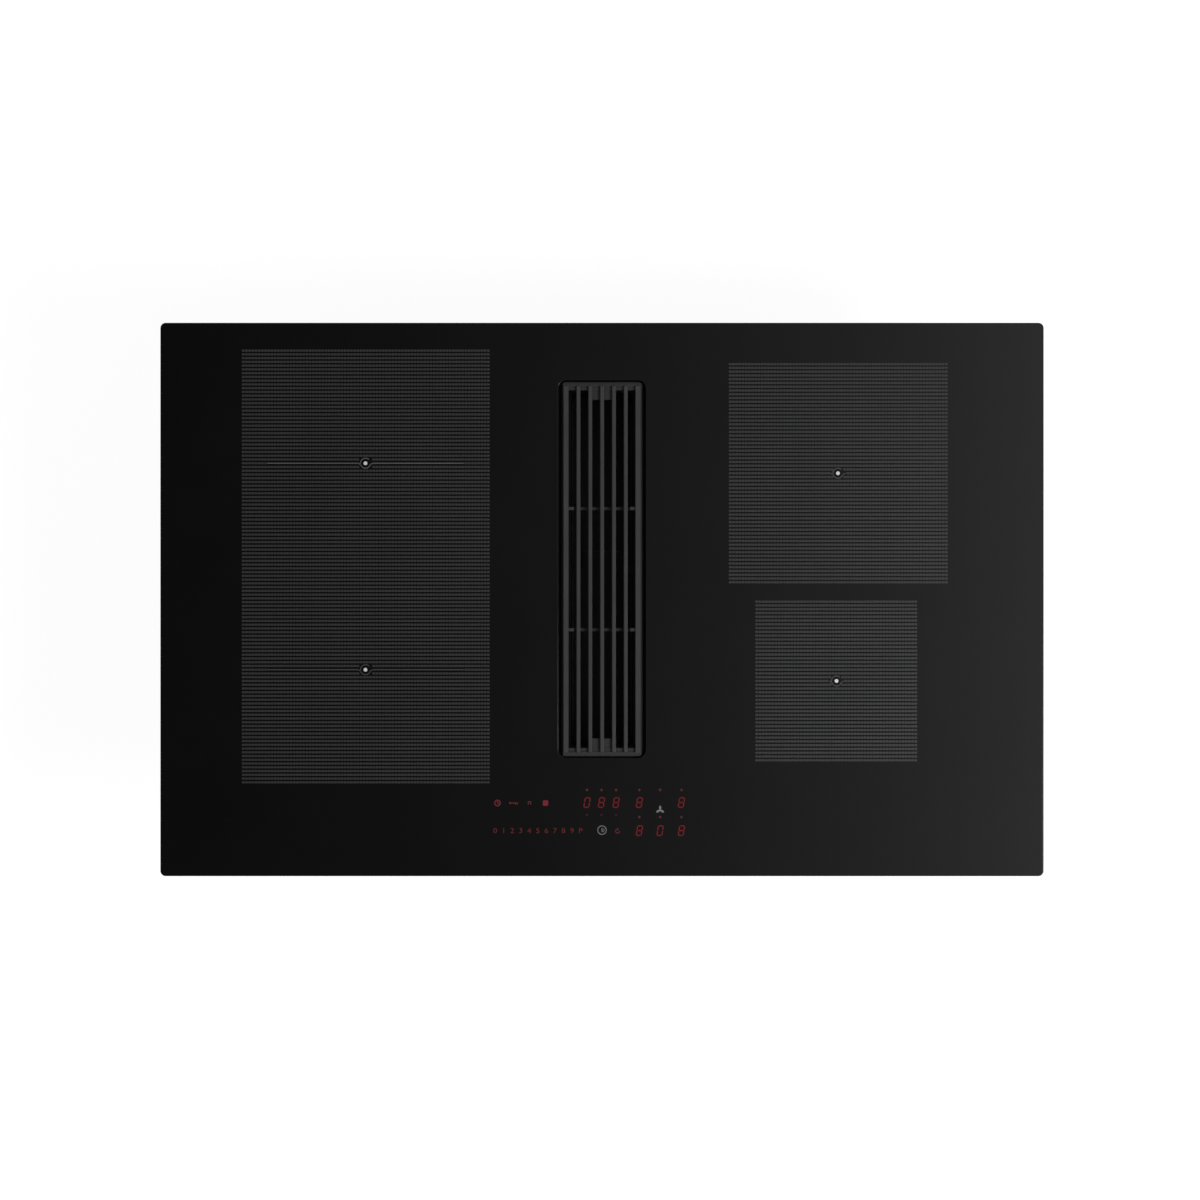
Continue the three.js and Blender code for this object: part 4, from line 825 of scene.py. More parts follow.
    def printed(self, name: str, ink: Finish) -> None:
        """Finishes faces drawn at z = 0 as a piece that lies on the glass and faces up."""
        lift = Box.of("glass_top").z1 + PRINT_LIFT
        bmesh.ops.translate(self.bm, verts=self.bm.verts, vec=(0, 0, lift))
        self.bm.normal_update()
        bmesh.ops.reverse_faces(self.bm, faces=[face for face in self.bm.faces if face.normal.z < 0])
        self.piece(name, ink, even=False)

    def piece(
        self, name: str, finish: Finish, body: str = "hob", replaces: Sequence[str] = (), smooth: float = 50,
        even: bool = True,
    ) -> None:
        """Finishes the mesh as an object that rides on a CAD body.

        Args:
            name: The piece's name.
            finish: Its finish.
            body: The CAD body that carries it.
            replaces: CAD nodes that it stands for.
            smooth: Edges sharper than this many degrees stay sharp.
            even: True for shading weighted by the size of the faces.
        """
        bmesh.ops.scale(self.bm, vec=(MM,) * 3, verts=self.bm.verts)
        mesh = bpy.data.meshes.new(name)
        self.bm.to_mesh(mesh)
        self.bm.free()
        mesh.shade_smooth()
        mesh.set_sharp_from_angle(angle=math.radians(smooth))
        mesh.materials.append(finish.material())
        made = placed(name, mesh)
        if even:
            made.modifiers.new("even_shading", "WEIGHTED_NORMAL").keep_sharp = True
        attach(made, body)
        if replaces:
            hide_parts(*replaces)
        log.info("%s: %d faces on %s", name, len(mesh.polygons), body)


def body_of(node: str) -> str:
    """The CAD body that a node belongs to."""
    return frame["nodes"][node]["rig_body"]


def finish_of(node: str) -> Finish:
    """The finish of a node's slot in the record."""
    rows = {row["node"]: row["material_slot"] for row in frame["record"]["subparts"]}
    return FINISH_OF_SLOT[rows[node]]


def refined(
    node: str, width: float, name: str | None = None, segments: int = 2, angle: float = SHARP,
    sunk: float = 0.0,
) -> None:
    """Replaces a CAD node with a copy whose sharp edges are bevelled.

    Args:
        node: The CAD node.
        width: Width of the bevels.
        name: The copy's name, if not the node's own with a word added.
        segments: Steps in each bevel.
        angle: Edges sharper than this many degrees are bevelled.
        sunk: Not 0 for an underside that is sunk inside a margin of this width.
    """
    shape = Shape.of_node(node).bevel_sharp(width, segments, angle)
    if sunk:
        shape.sink(Box.of(node).z0, sunk, UNDERSIDE_DEPTH)
    shape.piece(name or f"{node}_surface", finish_of(node), body_of(node), [node])


# ---- glass plate


@dataclass
class GlassTop:
    """The glass plate with its opening."""

    corner: float = 5.0
    corner_steps: int = 12
    bevels: tuple[float, float] = (0.7, 0.3)
    grille_gap: float = 1.7
    opening_corner: float = 7.5

    def build(self) -> None:
        """Makes the plate."""
        box, grille = Box.of("glass_top"), Box.of("grille")
        width, depth = (length + 2 * self.grille_gap for length in grille.size.xy)
        shape = Shape()
        shape.ring(
            (box.size.x, box.size.y, self.corner), (width, depth, self.opening_corner),
            (box.middle.x, box.middle.y, box.z1), (grille.middle.x, grille.middle.y, box.z1), box.size.z,
            self.bevels, self.corner_steps,
        )
        shape.piece("glass_plate", GLASS, "hob", ["glass_top"])


@dataclass
class ZonePrint:
    """A field of short dashes, with the mark of a coil's middle in one or more of its rows."""

    name: str
    left: float
    right: float
    front: float
    rear: float
    columns: int
    rows: int
    marks: tuple[tuple[float, int], ...]
    dash: tuple[float, float] = (2.36, 1.26)
    clear: float = 6.3
    row_reach: float = 0.5

    def pitch(self) -> tuple[float, float]:
        """Distance between dashes along X and Y."""
        across = (self.right - self.left - self.dash[0]) / (self.columns - 1)
        along = (self.rear - self.front - self.dash[1]) / (self.rows - 1)
        return across, along

    def centres(self) -> list[tuple[float, float]]:
        """Where the marks are; their rows are counted from the rear."""
        first, pitch = self.rear - self.dash[1] / 2, self.pitch()[1]
        return [(x, first - place * pitch) for x, place in self.marks]

    def build(self, lines: Sequence[tuple[float, float, float]] = ()) -> None:
        """Makes the field; lines are (row's Y, left X, right X) where a full line takes the dashes' place."""
        across, along = self.pitch()
        gap = across - self.dash[0]
        squash = gap / (along - self.dash[1])
        shape = Shape()
        bm = shape.bm
        cell = Matrix.Diagonal((across * self.columns, along * self.rows * squash, 1.0, 1.0))
        bmesh.ops.create_grid(bm, x_segments=self.columns, y_segments=self.rows, size=0.5, matrix=cell)
        frames = bmesh.ops.inset_individual(bm, faces=bm.faces, thickness=gap / 2)["faces"]
        bmesh.ops.delete(bm, geom=frames, context="FACES")
        middle = ((self.left + self.right) / 2, (self.front + self.rear) / 2, 0)
        place = Matrix.Translation(middle) @ Matrix.Diagonal((1.0, 1.0 / squash, 1.0, 1.0))
        bmesh.ops.transform(bm, matrix=place, verts=bm.verts)
        gone = []
        for face in bm.faces:
            at = face.calc_center_bounds()
            near = any((at.xy - Vector(mark)).length < self.clear for mark in self.centres())
            if near or any(abs(at.y - y) < self.row_reach and x0 < at.x < x1 for y, x0, x1 in lines):
                gone.append(face)
        bmesh.ops.delete(bm, geom=gone, context="FACES")
        shape.printed(self.name, INK)


@dataclass
class CentreMark:
    """Dot in a clear ring, with two arcs that run out into the lines on both sides."""

    name: str
    centre: tuple[float, float]
    ink: Finish
    line: tuple[float, float] | None = None
    dot: float = 1.75
    ring: float = 4.7
    knee: float = 7.1  # where an arc's end meets its line, from the middle
    reach: float = 7.2  # where a line ends, if it isn't given
    lead: float = 14.0
    sweep: float = 148.0
    thin: float = 0.95
    line_share: float = 1.2

    def build(self) -> None:
        """Makes the dot and the lines."""
        dot = Shape()
        dot.disc(self.centre, self.dot, 28)
        dot.printed(f"{self.name}_dot", INK_DOT)
        x, y = self.centre
        start, end = self.line or (x - self.reach, x + self.reach)
        lines = Shape()
        for side, limit in ((-1, start), (1, end)):
            first = 90 - side * (90 + self.lead)
            knee = (x + side * self.knee, y)
            lines.arc(self.centre, self.ring, self.thin, first, -self.sweep, 22)
            lines.strip(polar(self.centre, first, self.ring), knee, self.thin)
            lines.strip(knee, (limit, y), self.thin * self.line_share)
        lines.printed(f"{self.name}_lines", self.ink)


class GlassPrints:
    """All that is printed on the glass: three fields and four marks."""

    left = ZonePrint("left_zone_print", -338.2, -105.7, -172.4, 234.4, 78, 116, ((-222.2, 30), (-222.2, 85)))
    rear = ZonePrint("rear_right_zone_print", 119.3, 324.6, 15.5, 221.7, 69, 59, ((221.7, 29),))
    front = ZonePrint("front_right_zone_print", 144.2, 295.9, -151.7, -1.4, 51, 43, ((220.3, 21),))
    full_line = (-315.6, -129.6)

    def build(self) -> None:
        """Makes the fields, then the marks."""
        left_rear, left_front = self.left.centres()
        self.left.build([(left_rear[1], *self.full_line), (left_front[1], *self.full_line)])
        self.rear.build()
        self.front.build()
        CentreMark("rear_left_mark", left_rear, INK_LINE, self.full_line).build()
        CentreMark("front_left_mark", left_front, INK_FINE_LINE, self.full_line).build()
        CentreMark("rear_right_mark", self.rear.centres()[0], INK_FINE_LINE).build()
        CentreMark("front_right_mark", self.front.centres()[0], INK_FINE_LINE).build()


# ---- touch controls


@dataclass(frozen=True)
class Digit:
    """One slanted seven-segment digit."""

    x: float
    y: float
    lit: str = "abcdefg"
    width: float = 4.7
    height: float = 9.0
    stroke: float = 1.0
    slant: float = 0.16
    gap: float = 0.35
    clip: float = 0.3  # share of the stroke that is cut off at its corners

    def draw(self, shape: Shape) -> None:
        """Adds the lit segments to shape."""
        w, h = self.width / 2, self.height / 2
        ends = {
            "a": ((-w, h), (w, h)), "b": ((w, h), (w, 0)), "c": ((w, 0), (w, -h)), "d": ((-w, -h), (w, -h)),
            "e": ((-w, 0), (-w, -h)), "f": ((-w, h), (-w, 0)), "g": ((-w, 0), (w, 0)),
        }
        for name in self.lit:
            first, last = (Vector((self.x + x + y * self.slant, self.y + y)) for x, y in ends[name])
            step = (last - first).normalized() * self.gap
            shape.strip(first + step, last - step, self.stroke, self.stroke * self.clip)


@dataclass
class TouchControls:
    """Signs and digits that shine through the glass in front of the grille."""

    timer: tuple[float, float, float] = (-14.1, -0.5, 13.2)
    rear_row: float = -191.2
    front_row: float = -217.6
    digit_lift: float = 0.45
    zone_left: float = 35.1
    fan: float = 54.6
    zone_right: float = 74.6
    clock: float = -98.2
    key: float = -82.7
    bridge: float = -68.1
    pause: float = -53.1
    half_ring: float = 14.6
    scale_start: float = -100.4
    scale_pitch: float = 8.02
    scale_height: float = 6.9
    scale_stretch: float = 1.12

    def build(self) -> None:
        """Makes the groups of signs."""
        self._digits()
        self._signs()
        self._faint_signs()
        self._scale()
        self._white_signs()

    def _digits(self) -> None:
        """Timer, zone and extractor digits."""
        shape = Shape()
        rear, front = self.rear_row + self.digit_lift, self.front_row + self.digit_lift
        Digit(self.timer[0], rear, "abcdef").draw(shape)
        for x in (*self.timer[1:], self.zone_left, self.zone_right):
            Digit(x, rear).draw(shape)
        for x, lit in ((self.zone_left, "abcdefg"), (self.fan, "abcdef"), (self.zone_right, "abcdefg")):
            Digit(x, front, lit).draw(shape)
        shape.printed("lit_digits", RED_DIGIT)

    def _signs(self) -> None:
        """Clock, key and open ring; then the pause field."""
        shape = Shape()
        clock, key = (self.clock, self.rear_row), (self.key, self.rear_row)
        ring = (self.half_ring, self.front_row)
        shape.arc(clock, 2.6, 1.1, 0, 360, 28)
        shape.strokes(clock, 0.95, (0, 0, 0, 1.9), (0, 0, 1.4, -0.7))
        shape.disc((key[0] - 3.6, key[1]), 1.0, 18)
        shape.strokes(key, 0.9, (-3.0, 0, 3.6, 0), (1.6, -1.5, 1.6, 0.4), (3.3, -1.2, 3.3, 0.4))
        shape.arc(ring, 1.9, 0.75, 60, 300, 20)
        shape.strokes(ring, 0.75, (0, 0.4, 0, 2.9))
        shape.printed("lit_signs", RED_SIGN)
        pause = Shape()
        pause.outline(5.2, 5.2, 1.3, (self.pause, self.rear_row, 0), 5)
        pause.printed("lit_pause_field", RED_FIELD)

    def _faint_signs(self) -> None:
        """Plus over the digits, minus under the timer's and plus under the others, and the bridge sign."""
        shape = Shape()
        columns = (*self.timer, self.zone_left, self.fan, self.zone_right)
        plus, minus = (-1.3, 0, 1.3, 0), (-1.0, 0, 1.0, 0)
        upright = (0, -1.3, 0, 1.3)
        for x in columns:
            shape.strokes((x, self.rear_row + 12.3), 0.85, plus, upright)
        for x in columns:
            if x in self.timer:
                shape.strokes((x, self.rear_row - 11.2), 0.6, minus)
            else:
                shape.strokes((x, self.rear_row - 13.2), 0.85, plus, upright)
        posts = (-1.1, -1.5, -1.1, 1.5), (1.1, -1.5, 1.1, 1.5)
        shape.strokes((self.bridge, self.rear_row), 0.8, *posts, (-1.1, 1.3, 1.1, 1.3))
        shape.printed("faint_signs", RED_FAINT)

    def _scale(self) -> None:
        """Row of power levels, from 0 to 9 with the letter for boost."""
        whole = Shape()
        stretch = Matrix.Diagonal((self.scale_stretch, 1.0, 1.0, 1.0))
        for index, text in enumerate("0123456789P"):
            curve = bpy.data.curves.new("level", "FONT")
            curve.body, curve.size, curve.resolution_u = text, self.scale_height, 4
            curve.align_x, curve.align_y = "CENTER", "CENTER"
            holder = placed("level", curve)
            mesh = bpy.data.meshes.new_from_object(holder)
            x = self.scale_start + index * self.scale_pitch
            mesh.transform(Matrix.Translation((x, self.front_row + 0.2, 0)) @ stretch)
            whole.bm.from_mesh(mesh)
            bpy.data.objects.remove(holder)
            bpy.data.curves.remove(curve)
            bpy.data.meshes.remove(mesh)
        whole.printed("level_scale", RED_SCALE)

    def _white_signs(self) -> None:
        """Power ring and fan sign."""
        power = (0.0, self.front_row + 0.9)
        shape = Shape()
        shape.arc(power, 4.0, 0.9, 0, 360, 40)
        shape.strokes(power, 0.95, (0, -1.6, 0, 1.9))
        shape.arc(power, 1.9, 0.75, -70, 120, 12)
        shape.printed("power_sign", WHITE_SIGN)
        fan = (self.fan, -197.8)
        shape = Shape()
        for turn in (90, 210, 330):
            matrix = (
                Matrix.Translation((*polar(fan, turn, 2.3), 0))
                @ Matrix.Rotation(math.radians(turn), 4, "Z")
                @ Matrix.Diagonal((1.8, 1.05, 1.0, 1.0))
            )
            bmesh.ops.create_circle(shape.bm, cap_ends=True, segments=18, radius=1.0, matrix=matrix)
        shape.disc(fan, 0.95, 18)
        shape.printed("fan_sign", FAN_SIGN)


# ---- grille and filter


@dataclass
class Inlet:
    """Grille, collar and grease filter."""

    mesh_cell: tuple[float, float] = (7.0, 4.2)
    wire: float = 0.7
    layers: tuple[float, float] = (-0.4, 0.4)
    bar: float = 2.2
    bar_bevel: float = 0.25

    def build(self) -> None:
        """Makes the pieces in and under the opening."""
        refined("grille", 0.35, "cast_grille")
        refined("grille_pad_front", 0.3)
        refined("grille_pad_rear", 0.3)
        refined("inlet_frame", 0.25, "collar", 1)
        refined("filter_basket", 0.3, "basket", 1)
        refined("filter_handle", 0.35, "folding_bail", angle=50)
        for label, side in SIDES.items():
            self._mesh(f"filter_mesh_{label}", f"expanded_mesh_{label}", side)

    def _mesh(self, node: str, name: str, side: int) -> None:
        """Two layers of expanded metal in a folded frame."""
        box = Box.of(node)
        shape = Shape()
        across, up = self.mesh_cell
        pitch = across * 0.7071
        steps = int(max(box.size.y, box.size.z) * 1.5 / pitch)
        limits = (((0, 1, 0), box.y1), ((0, -1, 0), -box.y0), ((0, 0, 1), box.z1), ((0, 0, -1), -box.z0))
        for layer, offset in enumerate(self.layers):
            own = Shape()
            bm = own.bm
            bmesh.ops.create_grid(bm, x_segments=steps, y_segments=steps, size=steps * pitch / 2)
            turn = (
                Matrix.Translation(box.middle + Vector((side * offset, layer * across / 2, 0)))
                @ Matrix.Rotation(math.pi / 2, 4, "Z") @ Matrix.Rotation(math.pi / 2, 4, "X")
                @ Matrix.Diagonal((1.0, up / across, 1.0, 1.0)) @ Matrix.Rotation(math.pi / 4, 4, "Z")
            )
            bmesh.ops.transform(bm, matrix=turn, verts=bm.verts)
            for normal, far in limits:
                bmesh.ops.bisect_plane(
                    bm, geom=[*bm.verts, *bm.edges, *bm.faces], plane_co=Vector(normal) * (far - 1),
                    plane_no=normal, clear_outer=True,
                )
            bmesh.ops.wireframe(
                bm, faces=bm.faces, thickness=self.wire, use_boundary=True, use_even_offset=True,
                use_replace=True, material_offset=0,
            )
            shape.take(own)
        for z in (box.z0, box.z1 - self.bar):
            shape.box(replace(box, z0=z, z1=z + self.bar), self.bar_bevel, 1)
        upright = replace(box, z0=box.z0 + 2, z1=box.z1 - 2)
        for y in (box.y0, box.y1 - self.bar):
            shape.box(replace(upright, y0=y, y1=y + self.bar), self.bar_bevel, 1)
        # the mesh's near-black finish is painted shade for the deep slots
        shape.piece(name, MESH_METAL, body_of(node), [node], 40, even=False)


# ---- pan and springs


@dataclass
class Underbody:
    """Steel pan, springs, and the screws and beads that can be seen on them."""

    lip: float = 5.0  # how far the pan's lip stands out over its walls
    bead: float = 1.0
    wall_beads: tuple[float, float] = (-30.0, -24.0)
    floor_beads: tuple[tuple[float, float, float], ...] = (
        (205, 375, 0), (205, 375, 45), (205, 375, 90), (70, 190, -60), (70, 190, -200), (-375, -90, -190),
    )
    floor_screws: tuple[tuple[float, float], ...] = (
        (-330, -150), (-90, -150), (90, -150), (330, -150), (215, 215), (370, 215), (-370, 215),
    )

    def build(self) -> None:
        """Makes the pan, the four springs and the tape."""
        refined("base_pan", 0.4, "steel_pan")
        self._beads()
        self._screws()
        for node in frame["nodes"]:
            if node.startswith("side_spring"):
                refined(node, 0.15, segments=1)
                self._spring_screw(node)
        refined("sealing_tape", 0.4, "foam_seal")

    def _beads(self) -> None:
        """Pressed beads that stiffen the walls and the floor of the pan."""
        pan = Box.of("base_pan")
        front, rear, wall = pan.y0 + self.lip, pan.y1 - self.lip, pan.x1 - self.lip
        out, levels = self.bead, self.wall_beads
        boxes = [Box(x0, x1, front - out, front + 1, *levels) for x0, x1 in ((-200, -70), (70, 200))]
        for x0, x1 in ((-wall - out, -wall + 1), (wall - 1, wall + out)):
            boxes += [Box(x0, x1, y0, y1, *levels) for y0, y1 in ((-100, 0), (30, 110))]
        boxes += [Box(x0, x1, rear - 1, rear + out, *levels) for x0, x1 in ((180, 240), (-60, 40))]
        under = (pan.z0 - out, pan.z0 + 0.5)
        boxes += [Box(x0, x1, y - 4, y + 4, *under) for x0, x1, y in self.floor_beads]
        shape = Shape()
        for box in boxes:
            shape.box(box, 0.9, 3)
        shape.piece("pan_beads", GALVANISED)

    def _screws(self) -> None:
        """Screws up through the pan's floor, and others in its front wall."""
        pan = Box.of("base_pan")
        shape = Shape()
        shape.screws([(x, y, pan.z0) for x, y in self.floor_screws], Axis.Z, -1.8, 3.2)
        front = [(x, pan.y0 + self.lip, -12) for x in (-320, -180, 180, 320)]
        shape.screws(front, Axis.Y, -1.6, 2.8)
        shape.piece("pan_screws", SCREW)

    def _spring_screw(self, node: str) -> None:
        """One screw that holds a spring."""
        box = Box.of(node)
        side, wall = (1, box.x0) if box.middle.x > 0 else (-1, box.x1)
        shape = Shape()
        at = (wall + side * 1.2, box.middle.y, box.z1 - 0.14 * box.size.z)
        shape.screws([at], Axis.X, side * 2.2, 4.4)
        shape.piece(f"{node}_screw", SCREW)


# ---- extractor


@dataclass
class AirBox:
    """Air box, sump and drawer, with ribs and the screws of their flanges."""

    wall: float = 50.0  # the sump's right and left walls
    front: float = -78.0  # the chamber's front wall
    out: float = 3.0  # how far a rib stands out
    root: float = 0.5  # how far it reaches into its wall
    half: float = 0.8
    chamber: tuple[float, float] = (-104.0, -52.0)

    def build(self) -> None:
        """Makes the shells and what is moulded on them."""
        refined("air_box_upper", 0.7, "air_box_roof")
        refined("air_box_lower", 0.5, "air_box_deck")
        refined("drip_sump", 0.5, "sump_tub", sunk=4)
        refined("drip_drawer", 0.5, "drawer_tray")
        self._ribs()
        self._flange_screws()
        self._drawer_ribs()

    def _ribs(self) -> None:
        """Upright ribs on the walls of sump and chamber, and flat ones in the sump's sunk floor."""
        sump = Box.of("drip_sump")
        left = Box.of("air_box_lower").x0 + 6
        tub = (sump.z0 + 3, sump.z1 - 3)
        right_wall = (self.wall - self.root, self.wall + self.out)
        left_wall = (-self.wall - self.out, -self.wall + self.root)
        front_wall = (self.front - self.out, self.front + self.root)
        shape = Shape()
        for places, box, across in (
            (row(9, -140, 40), Box(*right_wall, 0, 0, *tub), "y"),
            (row(3, -138, 24), Box(*left_wall, 0, 0, *tub), "y"),
            (row(6, -55, 50), Box(left - self.out, left + self.root, 0, 0, *self.chamber), "y"),
            (row(6, left + 25, 48), Box(0, 0, *front_wall, *self.chamber), "x"),
            (row(8, -140, 46), Box(*right_wall, 0, 0, *self.chamber), "y"),
        ):
            shape.ribs(places, box, across, self.half, 0.5)
        floor = (sump.z0 + level for level in FLOOR_RIB)
        shape.ribs(row(7, -120, 48), Box(-38, 38, 0, 0, *floor), "y", self.half, 0.3)
        shape.piece("air_box_ribs", BLACK_PLASTIC)

    def _flange_screws(self) -> None:
        """Screws up through the flanges of sump and deck."""
        deck = Box.of("air_box_lower")
        sump = [(53.2, y) for y in (-120, -30, 60, 150)] + [(-53.2, -120), (0, -163), (0, 220)]
        rim = [(deck.x0 + 3.2, y) for y in (-60, 60, 190)] + [(x, -81.2) for x in (-320, -200, -80)]
        shape = Shape()
        points = [(*at, -114.6) for at in sump] + [(*at, deck.z0) for at in rim]
        shape.screws(points, Axis.Z, -1.8, 2.6)
        shape.piece("air_box_screws", SCREW)

    def _drawer_ribs(self) -> None:
        """Finger ribs under the drawer's grip."""
        drawer = Box.of("drip_drawer")
        shape = Shape()
        grip = Box(0, 0, drawer.y0 + 1.2, drawer.y0 + 8, drawer.z1 - 3.8, drawer.z1 - 2.8)
        shape.ribs(row(7, -15, 5), grip, "x", self.half, 0.3)
        shape.piece("drawer_grip_ribs", GREY_PLASTIC, body_of("drip_drawer"))


@dataclass
class Blower:
    """Volute, motor, impeller and spigot."""

    centre: tuple[float, float] = (-205.0, 62.0)
    rib_radius: float = 56.0
    screw_radius: float = 42.0
    bosses: tuple[tuple[float, float], ...] = ((150, 117), (200, 126), (250, 135), (300, 144))
    pipe: Box = Box(-274, -57, 222, 240, -199.8, -115.8)  # the spigot, as far as its ribs reach

    def build(self) -> None:
        """Makes the blower's pieces."""
        refined("volute_housing", 0.5, "volute", sunk=4)
        refined("blower_motor", 0.4, "motor_body", angle=50)
        refined("motor_shaft", 0.3, segments=1)
        refined("blower_inlet_ring", 0.3, "inlet_nozzle", angle=50)
        refined("impeller", 0.2, "impeller_wheel", 1, 60)
        refined("duct_spigot", 0.5, "flat_duct_spigot")
        self._volute_ribs()
        self._motor_screws()
        self._spigot_stops()

    def _volute_ribs(self) -> None:
        """Radial ribs in the volute's sunk floor round the motor's hole, and bosses on its wall."""
        shape = Shape()
        floor = Box.of("volute_housing").z0
        for angle in row(8, 10, 45):
            rib = Shape()
            rib.box(Box(-14, 26, -0.9, 0.9, *(floor + level for level in FLOOR_RIB)), 0.3)
            at = polar(self.centre, angle, self.rib_radius)
            turn = Matrix.Rotation(math.radians(angle), 4, "Z")
            shape.take(rib, Matrix.Translation((*at, 0)) @ turn)
        for angle, radius in self.bosses:
            at = polar(self.centre, angle, radius)
            shape.cone((*at, 0), floor + 8, -116, 4.2, 3.8, Axis.Z, 20)
        shape.piece("volute_bosses", BLACK_PLASTIC)

    def _motor_screws(self) -> None:
        """Screws of the motor's flange, seen from below in the volute's floor."""
        level = Box.of("volute_housing").z0 + UNDERSIDE_DEPTH
        shape = Shape()
        points = [(*polar(self.centre, angle, self.screw_radius), level) for angle in row(4, 45, 90)]
        shape.screws(points, Axis.Z, -0.9, 3.0)
        shape.piece("motor_screws", SCREW)

    def _spigot_stops(self) -> None:
        """Low ribs round the spigot that stop the duct."""
        root, out, half, bevel = 0.3, 1.3, 0.9, 0.4
        pipe = self.pipe
        over = replace(pipe, z0=pipe.z1 - root, z1=pipe.z1 + out)
        under = replace(pipe, z0=pipe.z0 - out, z1=pipe.z0 + root)
        shape = Shape()
        for x in (-240, -190, -140, -90):
            for box in (over, under):
                shape.ribs([x], box, "x", half, bevel)
        for x in (pipe.x0 - out, pipe.x1 - root):
            shape.ribs((-178, -137), replace(pipe, x0=x, x1=x + root + out), "z", half, bevel)
        shape.piece("spigot_ribs", BLACK_PLASTIC)


@dataclass
class HungBoxes:
    """Control box of the extractor and terminal box, with lids, screws and gland."""

    screw_inset: float = 7.0
    rib_pitch: float = 12.0
    gland_base: tuple[float, float] = (224.2, 230.0)

    def build(self) -> None:
        """Makes both boxes and what is on them."""
        for node in ("extractor_control_box", "terminal_box"):
            refined(node, 0.6)
        for node in ("extractor_control_lid", "terminal_lid"):
            refined(node, 0.4)
            self._lid_screws(node)
        self._lid_field("extractor_control_lid", BLACK_PLASTIC, 14)
        self._lid_field("terminal_lid", GREY_PLASTIC, 9)
        self._gland()

    def _lid_screws(self, node: str) -> None:
        """A screw in each corner of a lid."""
        box, inset = Box.of(node), self.screw_inset
        shape = Shape()
        rows = (box.y0 + inset, box.y1 - inset)
        points = [(x, y, box.z0) for x in (box.x0 + inset, box.x1 - inset) for y in rows]
        shape.screws(points, Axis.Z, -1.5, 2.8)
        shape.piece(f"{node}_screws", SCREW)

    def _lid_field(self, node: str, finish: Finish, margin: float) -> None:
        """Raised ribs across a lid, inside a margin."""
        box = Box.of(node)
        length = box.size.y - 2 * margin
        count = max(3, int(length / self.rib_pitch))
        shape = Shape()
        field = Box(box.x0 + margin, box.x1 - margin, 0, 0, box.z0 - 0.9, box.z0 + 0.2)
        shape.ribs(row(count, box.y0 + margin, length / (count - 1)), field, "y", 0.9, 0.35)
        shape.piece(f"{node}_ribs", finish)

    def _gland(self) -> None:
        """Gland with a hexagonal base and a fluted cap nut."""
        box = Box.of("cable_gland")
        centre, reach = (box.middle.x, 0, box.middle.z), box.size.x / 2
        wide, narrow = reach * 0.82, reach * 0.66
        low, high = self.gland_base
        base, cap, shape = Shape(), Shape(), Shape()
        base.cone(centre, low, high, reach, reach, Axis.Y, 6)
        cap.cone(centre, high - 0.2, box.y1, wide, narrow, Axis.Y, 24, 9.0, 5.0)
        for part in (base, cap):
            shape.take(part.bevel_sharp(0.5))
        for angle in row(12, 0, math.pi / 6):
            rib = Shape()
            rib.box(Box(-0.5, 0.5, high + 1, box.y1 - 3, reach * 0.7, wide), 0.2, 1)
            shape.take(rib, Matrix.Translation(centre) @ Matrix.Rotation(angle, 4, "Y"))
        shape.piece("gland_nut", BLACK_PLASTIC)


# ---- inside of the pan


class Internals:
    """Nodes that keep their solids: each gets its finish, and small ones a bevel modifier."""

    rounded = {"cooling_fan_case": 0.6, "terminal_block": 0.4, "control_tray": 0.5, "touch_board": 0.2}

    def build(self) -> None:
        """Dresses every CAD node."""
        for name, node in frame["nodes"].items():
            node.data.materials.clear()
            node.data.materials.append(finish_of(name).material())
            for polygon in node.data.polygons:
                polygon.material_index = 0
            for start, width in self.rounded.items():
                if name.startswith(start):
                    node.modifiers.new("merged", "WELD").merge_threshold = 0.00001
                    bevel = node.modifiers.new("rounded", "BEVEL")
                    bevel.width, bevel.segments, bevel.limit_method = width * MM, 2, "ANGLE"
            log.info("%s: finish %s", name, finish_of(name).name)


# ---- studio


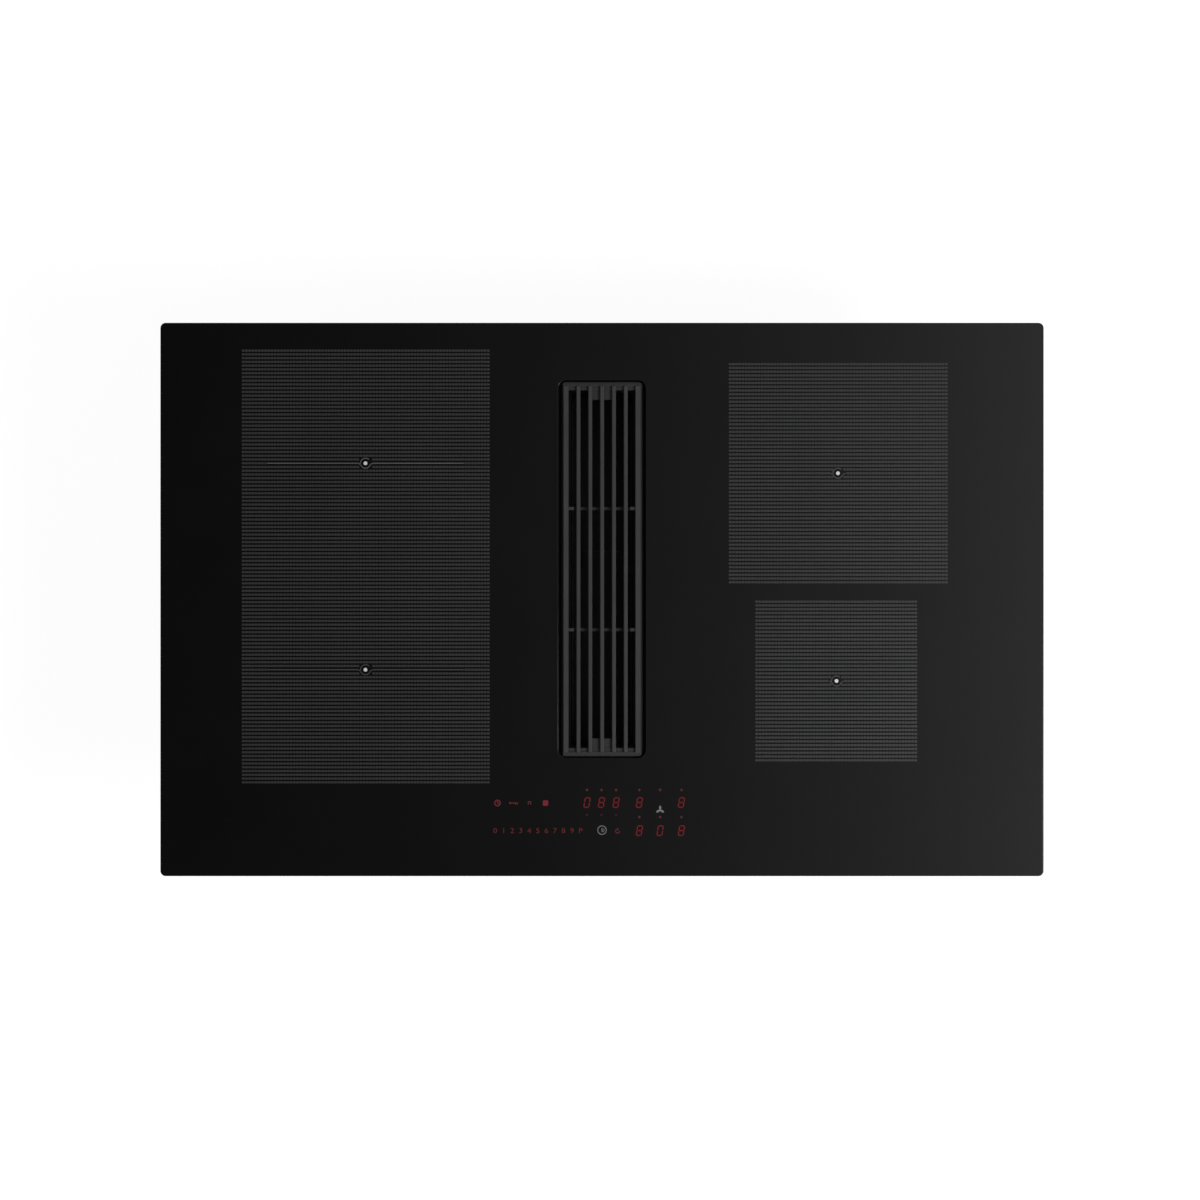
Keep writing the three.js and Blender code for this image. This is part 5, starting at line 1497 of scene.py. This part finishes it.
@dataclass
class Studio:
    """Floor, world, lamps and the camera at the photograph's view, in metres."""

    height: float = 3.0
    shown_width: float = 1.1273
    sensor: float = 36.0
    aim: tuple[float, float] = (-0.0019, -0.0005)
    lamps: tuple[tuple[str, tuple[float, float, float], float, float], ...] = (
        ("key_lamp", (1.35, -0.6, 1.5), 1.0, 42.0),
        ("fill_lamp", (-1.7, 1.5, 1.9), 1.6, 12.0),
    )
    floor_size: float = 14.0
    floor_gap: float = 0.0005
    floor_white: float = 0.91
    glare: float = 0.125
    glare_slope: float = 10.6
    glare_most: float = 0.8
    ceiling: tuple[float, float] = (0.93, 0.55)  # heights between which it gives way to the horizon
    horizon: float = 0.52
    horizon_slope: float = 0.2
    ambient: float = 0.27

    def camera(self) -> None:
        """Makes the camera, straight above."""
        data = bpy.data.cameras.new("top_camera")
        data.sensor_width = self.sensor
        data.lens = self.sensor * self.height / self.shown_width
        data.clip_start, data.clip_end = 0.05, 60.0
        made = placed("top_camera", data)
        made.location = (*self.aim, self.height + Box.of("glass_top").z1 * MM)
        bpy.context.scene.camera = made

    def light(self) -> None:
        """Makes the lamps, the world and the floor."""
        bpy.context.scene.view_settings.view_transform = "Standard"
        for name, place, size, power in self.lamps:
            data = bpy.data.lights.new(name, "AREA")
            data.size, data.energy = size, power
            lamp = placed(name, data)
            lamp.location = place
            lamp.rotation_euler = (-Vector(place)).to_track_quat("-Z", "Y").to_euler()
        self._world()
        self._floor()

    def _world(self) -> None:
        """White to the camera; to gloss a dark ceiling that grows paler to the right and to the horizon."""
        world = bpy.data.worlds.new("studio_world")
        bpy.context.scene.world = world
        world.use_nodes = True
        g = Graph(world.node_tree)
        direction = g.node("ShaderNodeTexCoord", out="Generated")
        right = g.node("ShaderNodeSeparateXYZ", {}, {"Vector": direction}, "X")
        overhead = ((right * self.glare_slope).exp() * self.glare).least(self.glare_most)
        start, end = self.ceiling
        span = {"Value": right.beside("Z"), "From Min": start, "From Max": end, "To Min": 0, "To Max": 1}
        low = g.node("ShaderNodeMapRange", {"interpolation_type": "SMOOTHSTEP"}, span, "Result")
        gloss = overhead * (1 - low) + low * (right * self.horizon_slope + self.horizon)
        seen = g.node("ShaderNodeLightPath", out="Is Camera Ray")
        glossy = seen.beside("Is Glossy Ray")
        level = glossy * gloss + (1 - glossy) * self.ambient
        shown = seen.most(seen.beside("Is Transmission Ray"))
        strength = shown + (1 - shown) * level
        sky = g.node("ShaderNodeBackground", {}, {"Color": (1, 1, 1), "Strength": strength}, "Background")
        g.end(sky, "ShaderNodeOutputWorld")

    def _floor(self) -> None:
        """Pale floor that is white to the camera and keeps a soft shadow."""
        bm = bmesh.new()
        under = Matrix.Translation((0, 0, CAD_BOX[0].z - self.floor_gap))
        bmesh.ops.create_grid(bm, x_segments=1, y_segments=1, size=self.floor_size / 2, matrix=under)
        mesh = bpy.data.meshes.new("floor")
        bm.to_mesh(mesh)
        bm.free()
        floor = placed("floor", mesh)
        material = bpy.data.materials.new("pale_floor")
        material.use_nodes = True
        g = Graph(material.node_tree)
        seen = g.node("ShaderNodeLightPath", out="Is Camera Ray")
        shown = seen.most(seen.beside("Is Glossy Ray")).most(seen.beside("Is Transmission Ray"))
        tone = g.ramp(g.noise(g.place(), 3), [(0.3, (0.78,) * 3), (0.7, (0.8,) * 3)])
        matt = g.node("ShaderNodeBsdfDiffuse", {}, {"Color": tone}, "BSDF")
        faint = g.node("ShaderNodeBsdfDiffuse", {}, {"Color": (0.2,) * 3}, "BSDF")
        glow = {"Color": (1, 1, 1), "Strength": self.floor_white}
        white = g.node("ShaderNodeEmission", {}, glow, "Emission")
        lit = g.node("ShaderNodeAddShader", {}, {0: faint, 1: white})
        g.end(g.node("ShaderNodeMixShader", {}, {0: shown, 1: matt, 2: lit}))
        mesh.materials.append(material)


# ---- whole object


def main() -> None:
    """Builds the studio and every sub-assembly in order."""
    logging.basicConfig(level=logging.INFO, format="%(message)s")
    studio = Studio()
    studio.camera()
    for assembly in (
        Internals(), GlassTop(), GlassPrints(), TouchControls(), Inlet(), Underbody(), AirBox(), Blower(),
        HungBoxes(),
    ):
        assembly.build()
    studio.light()
    bpy.context.view_layer.update()


if __name__ == "__main__":
    main()
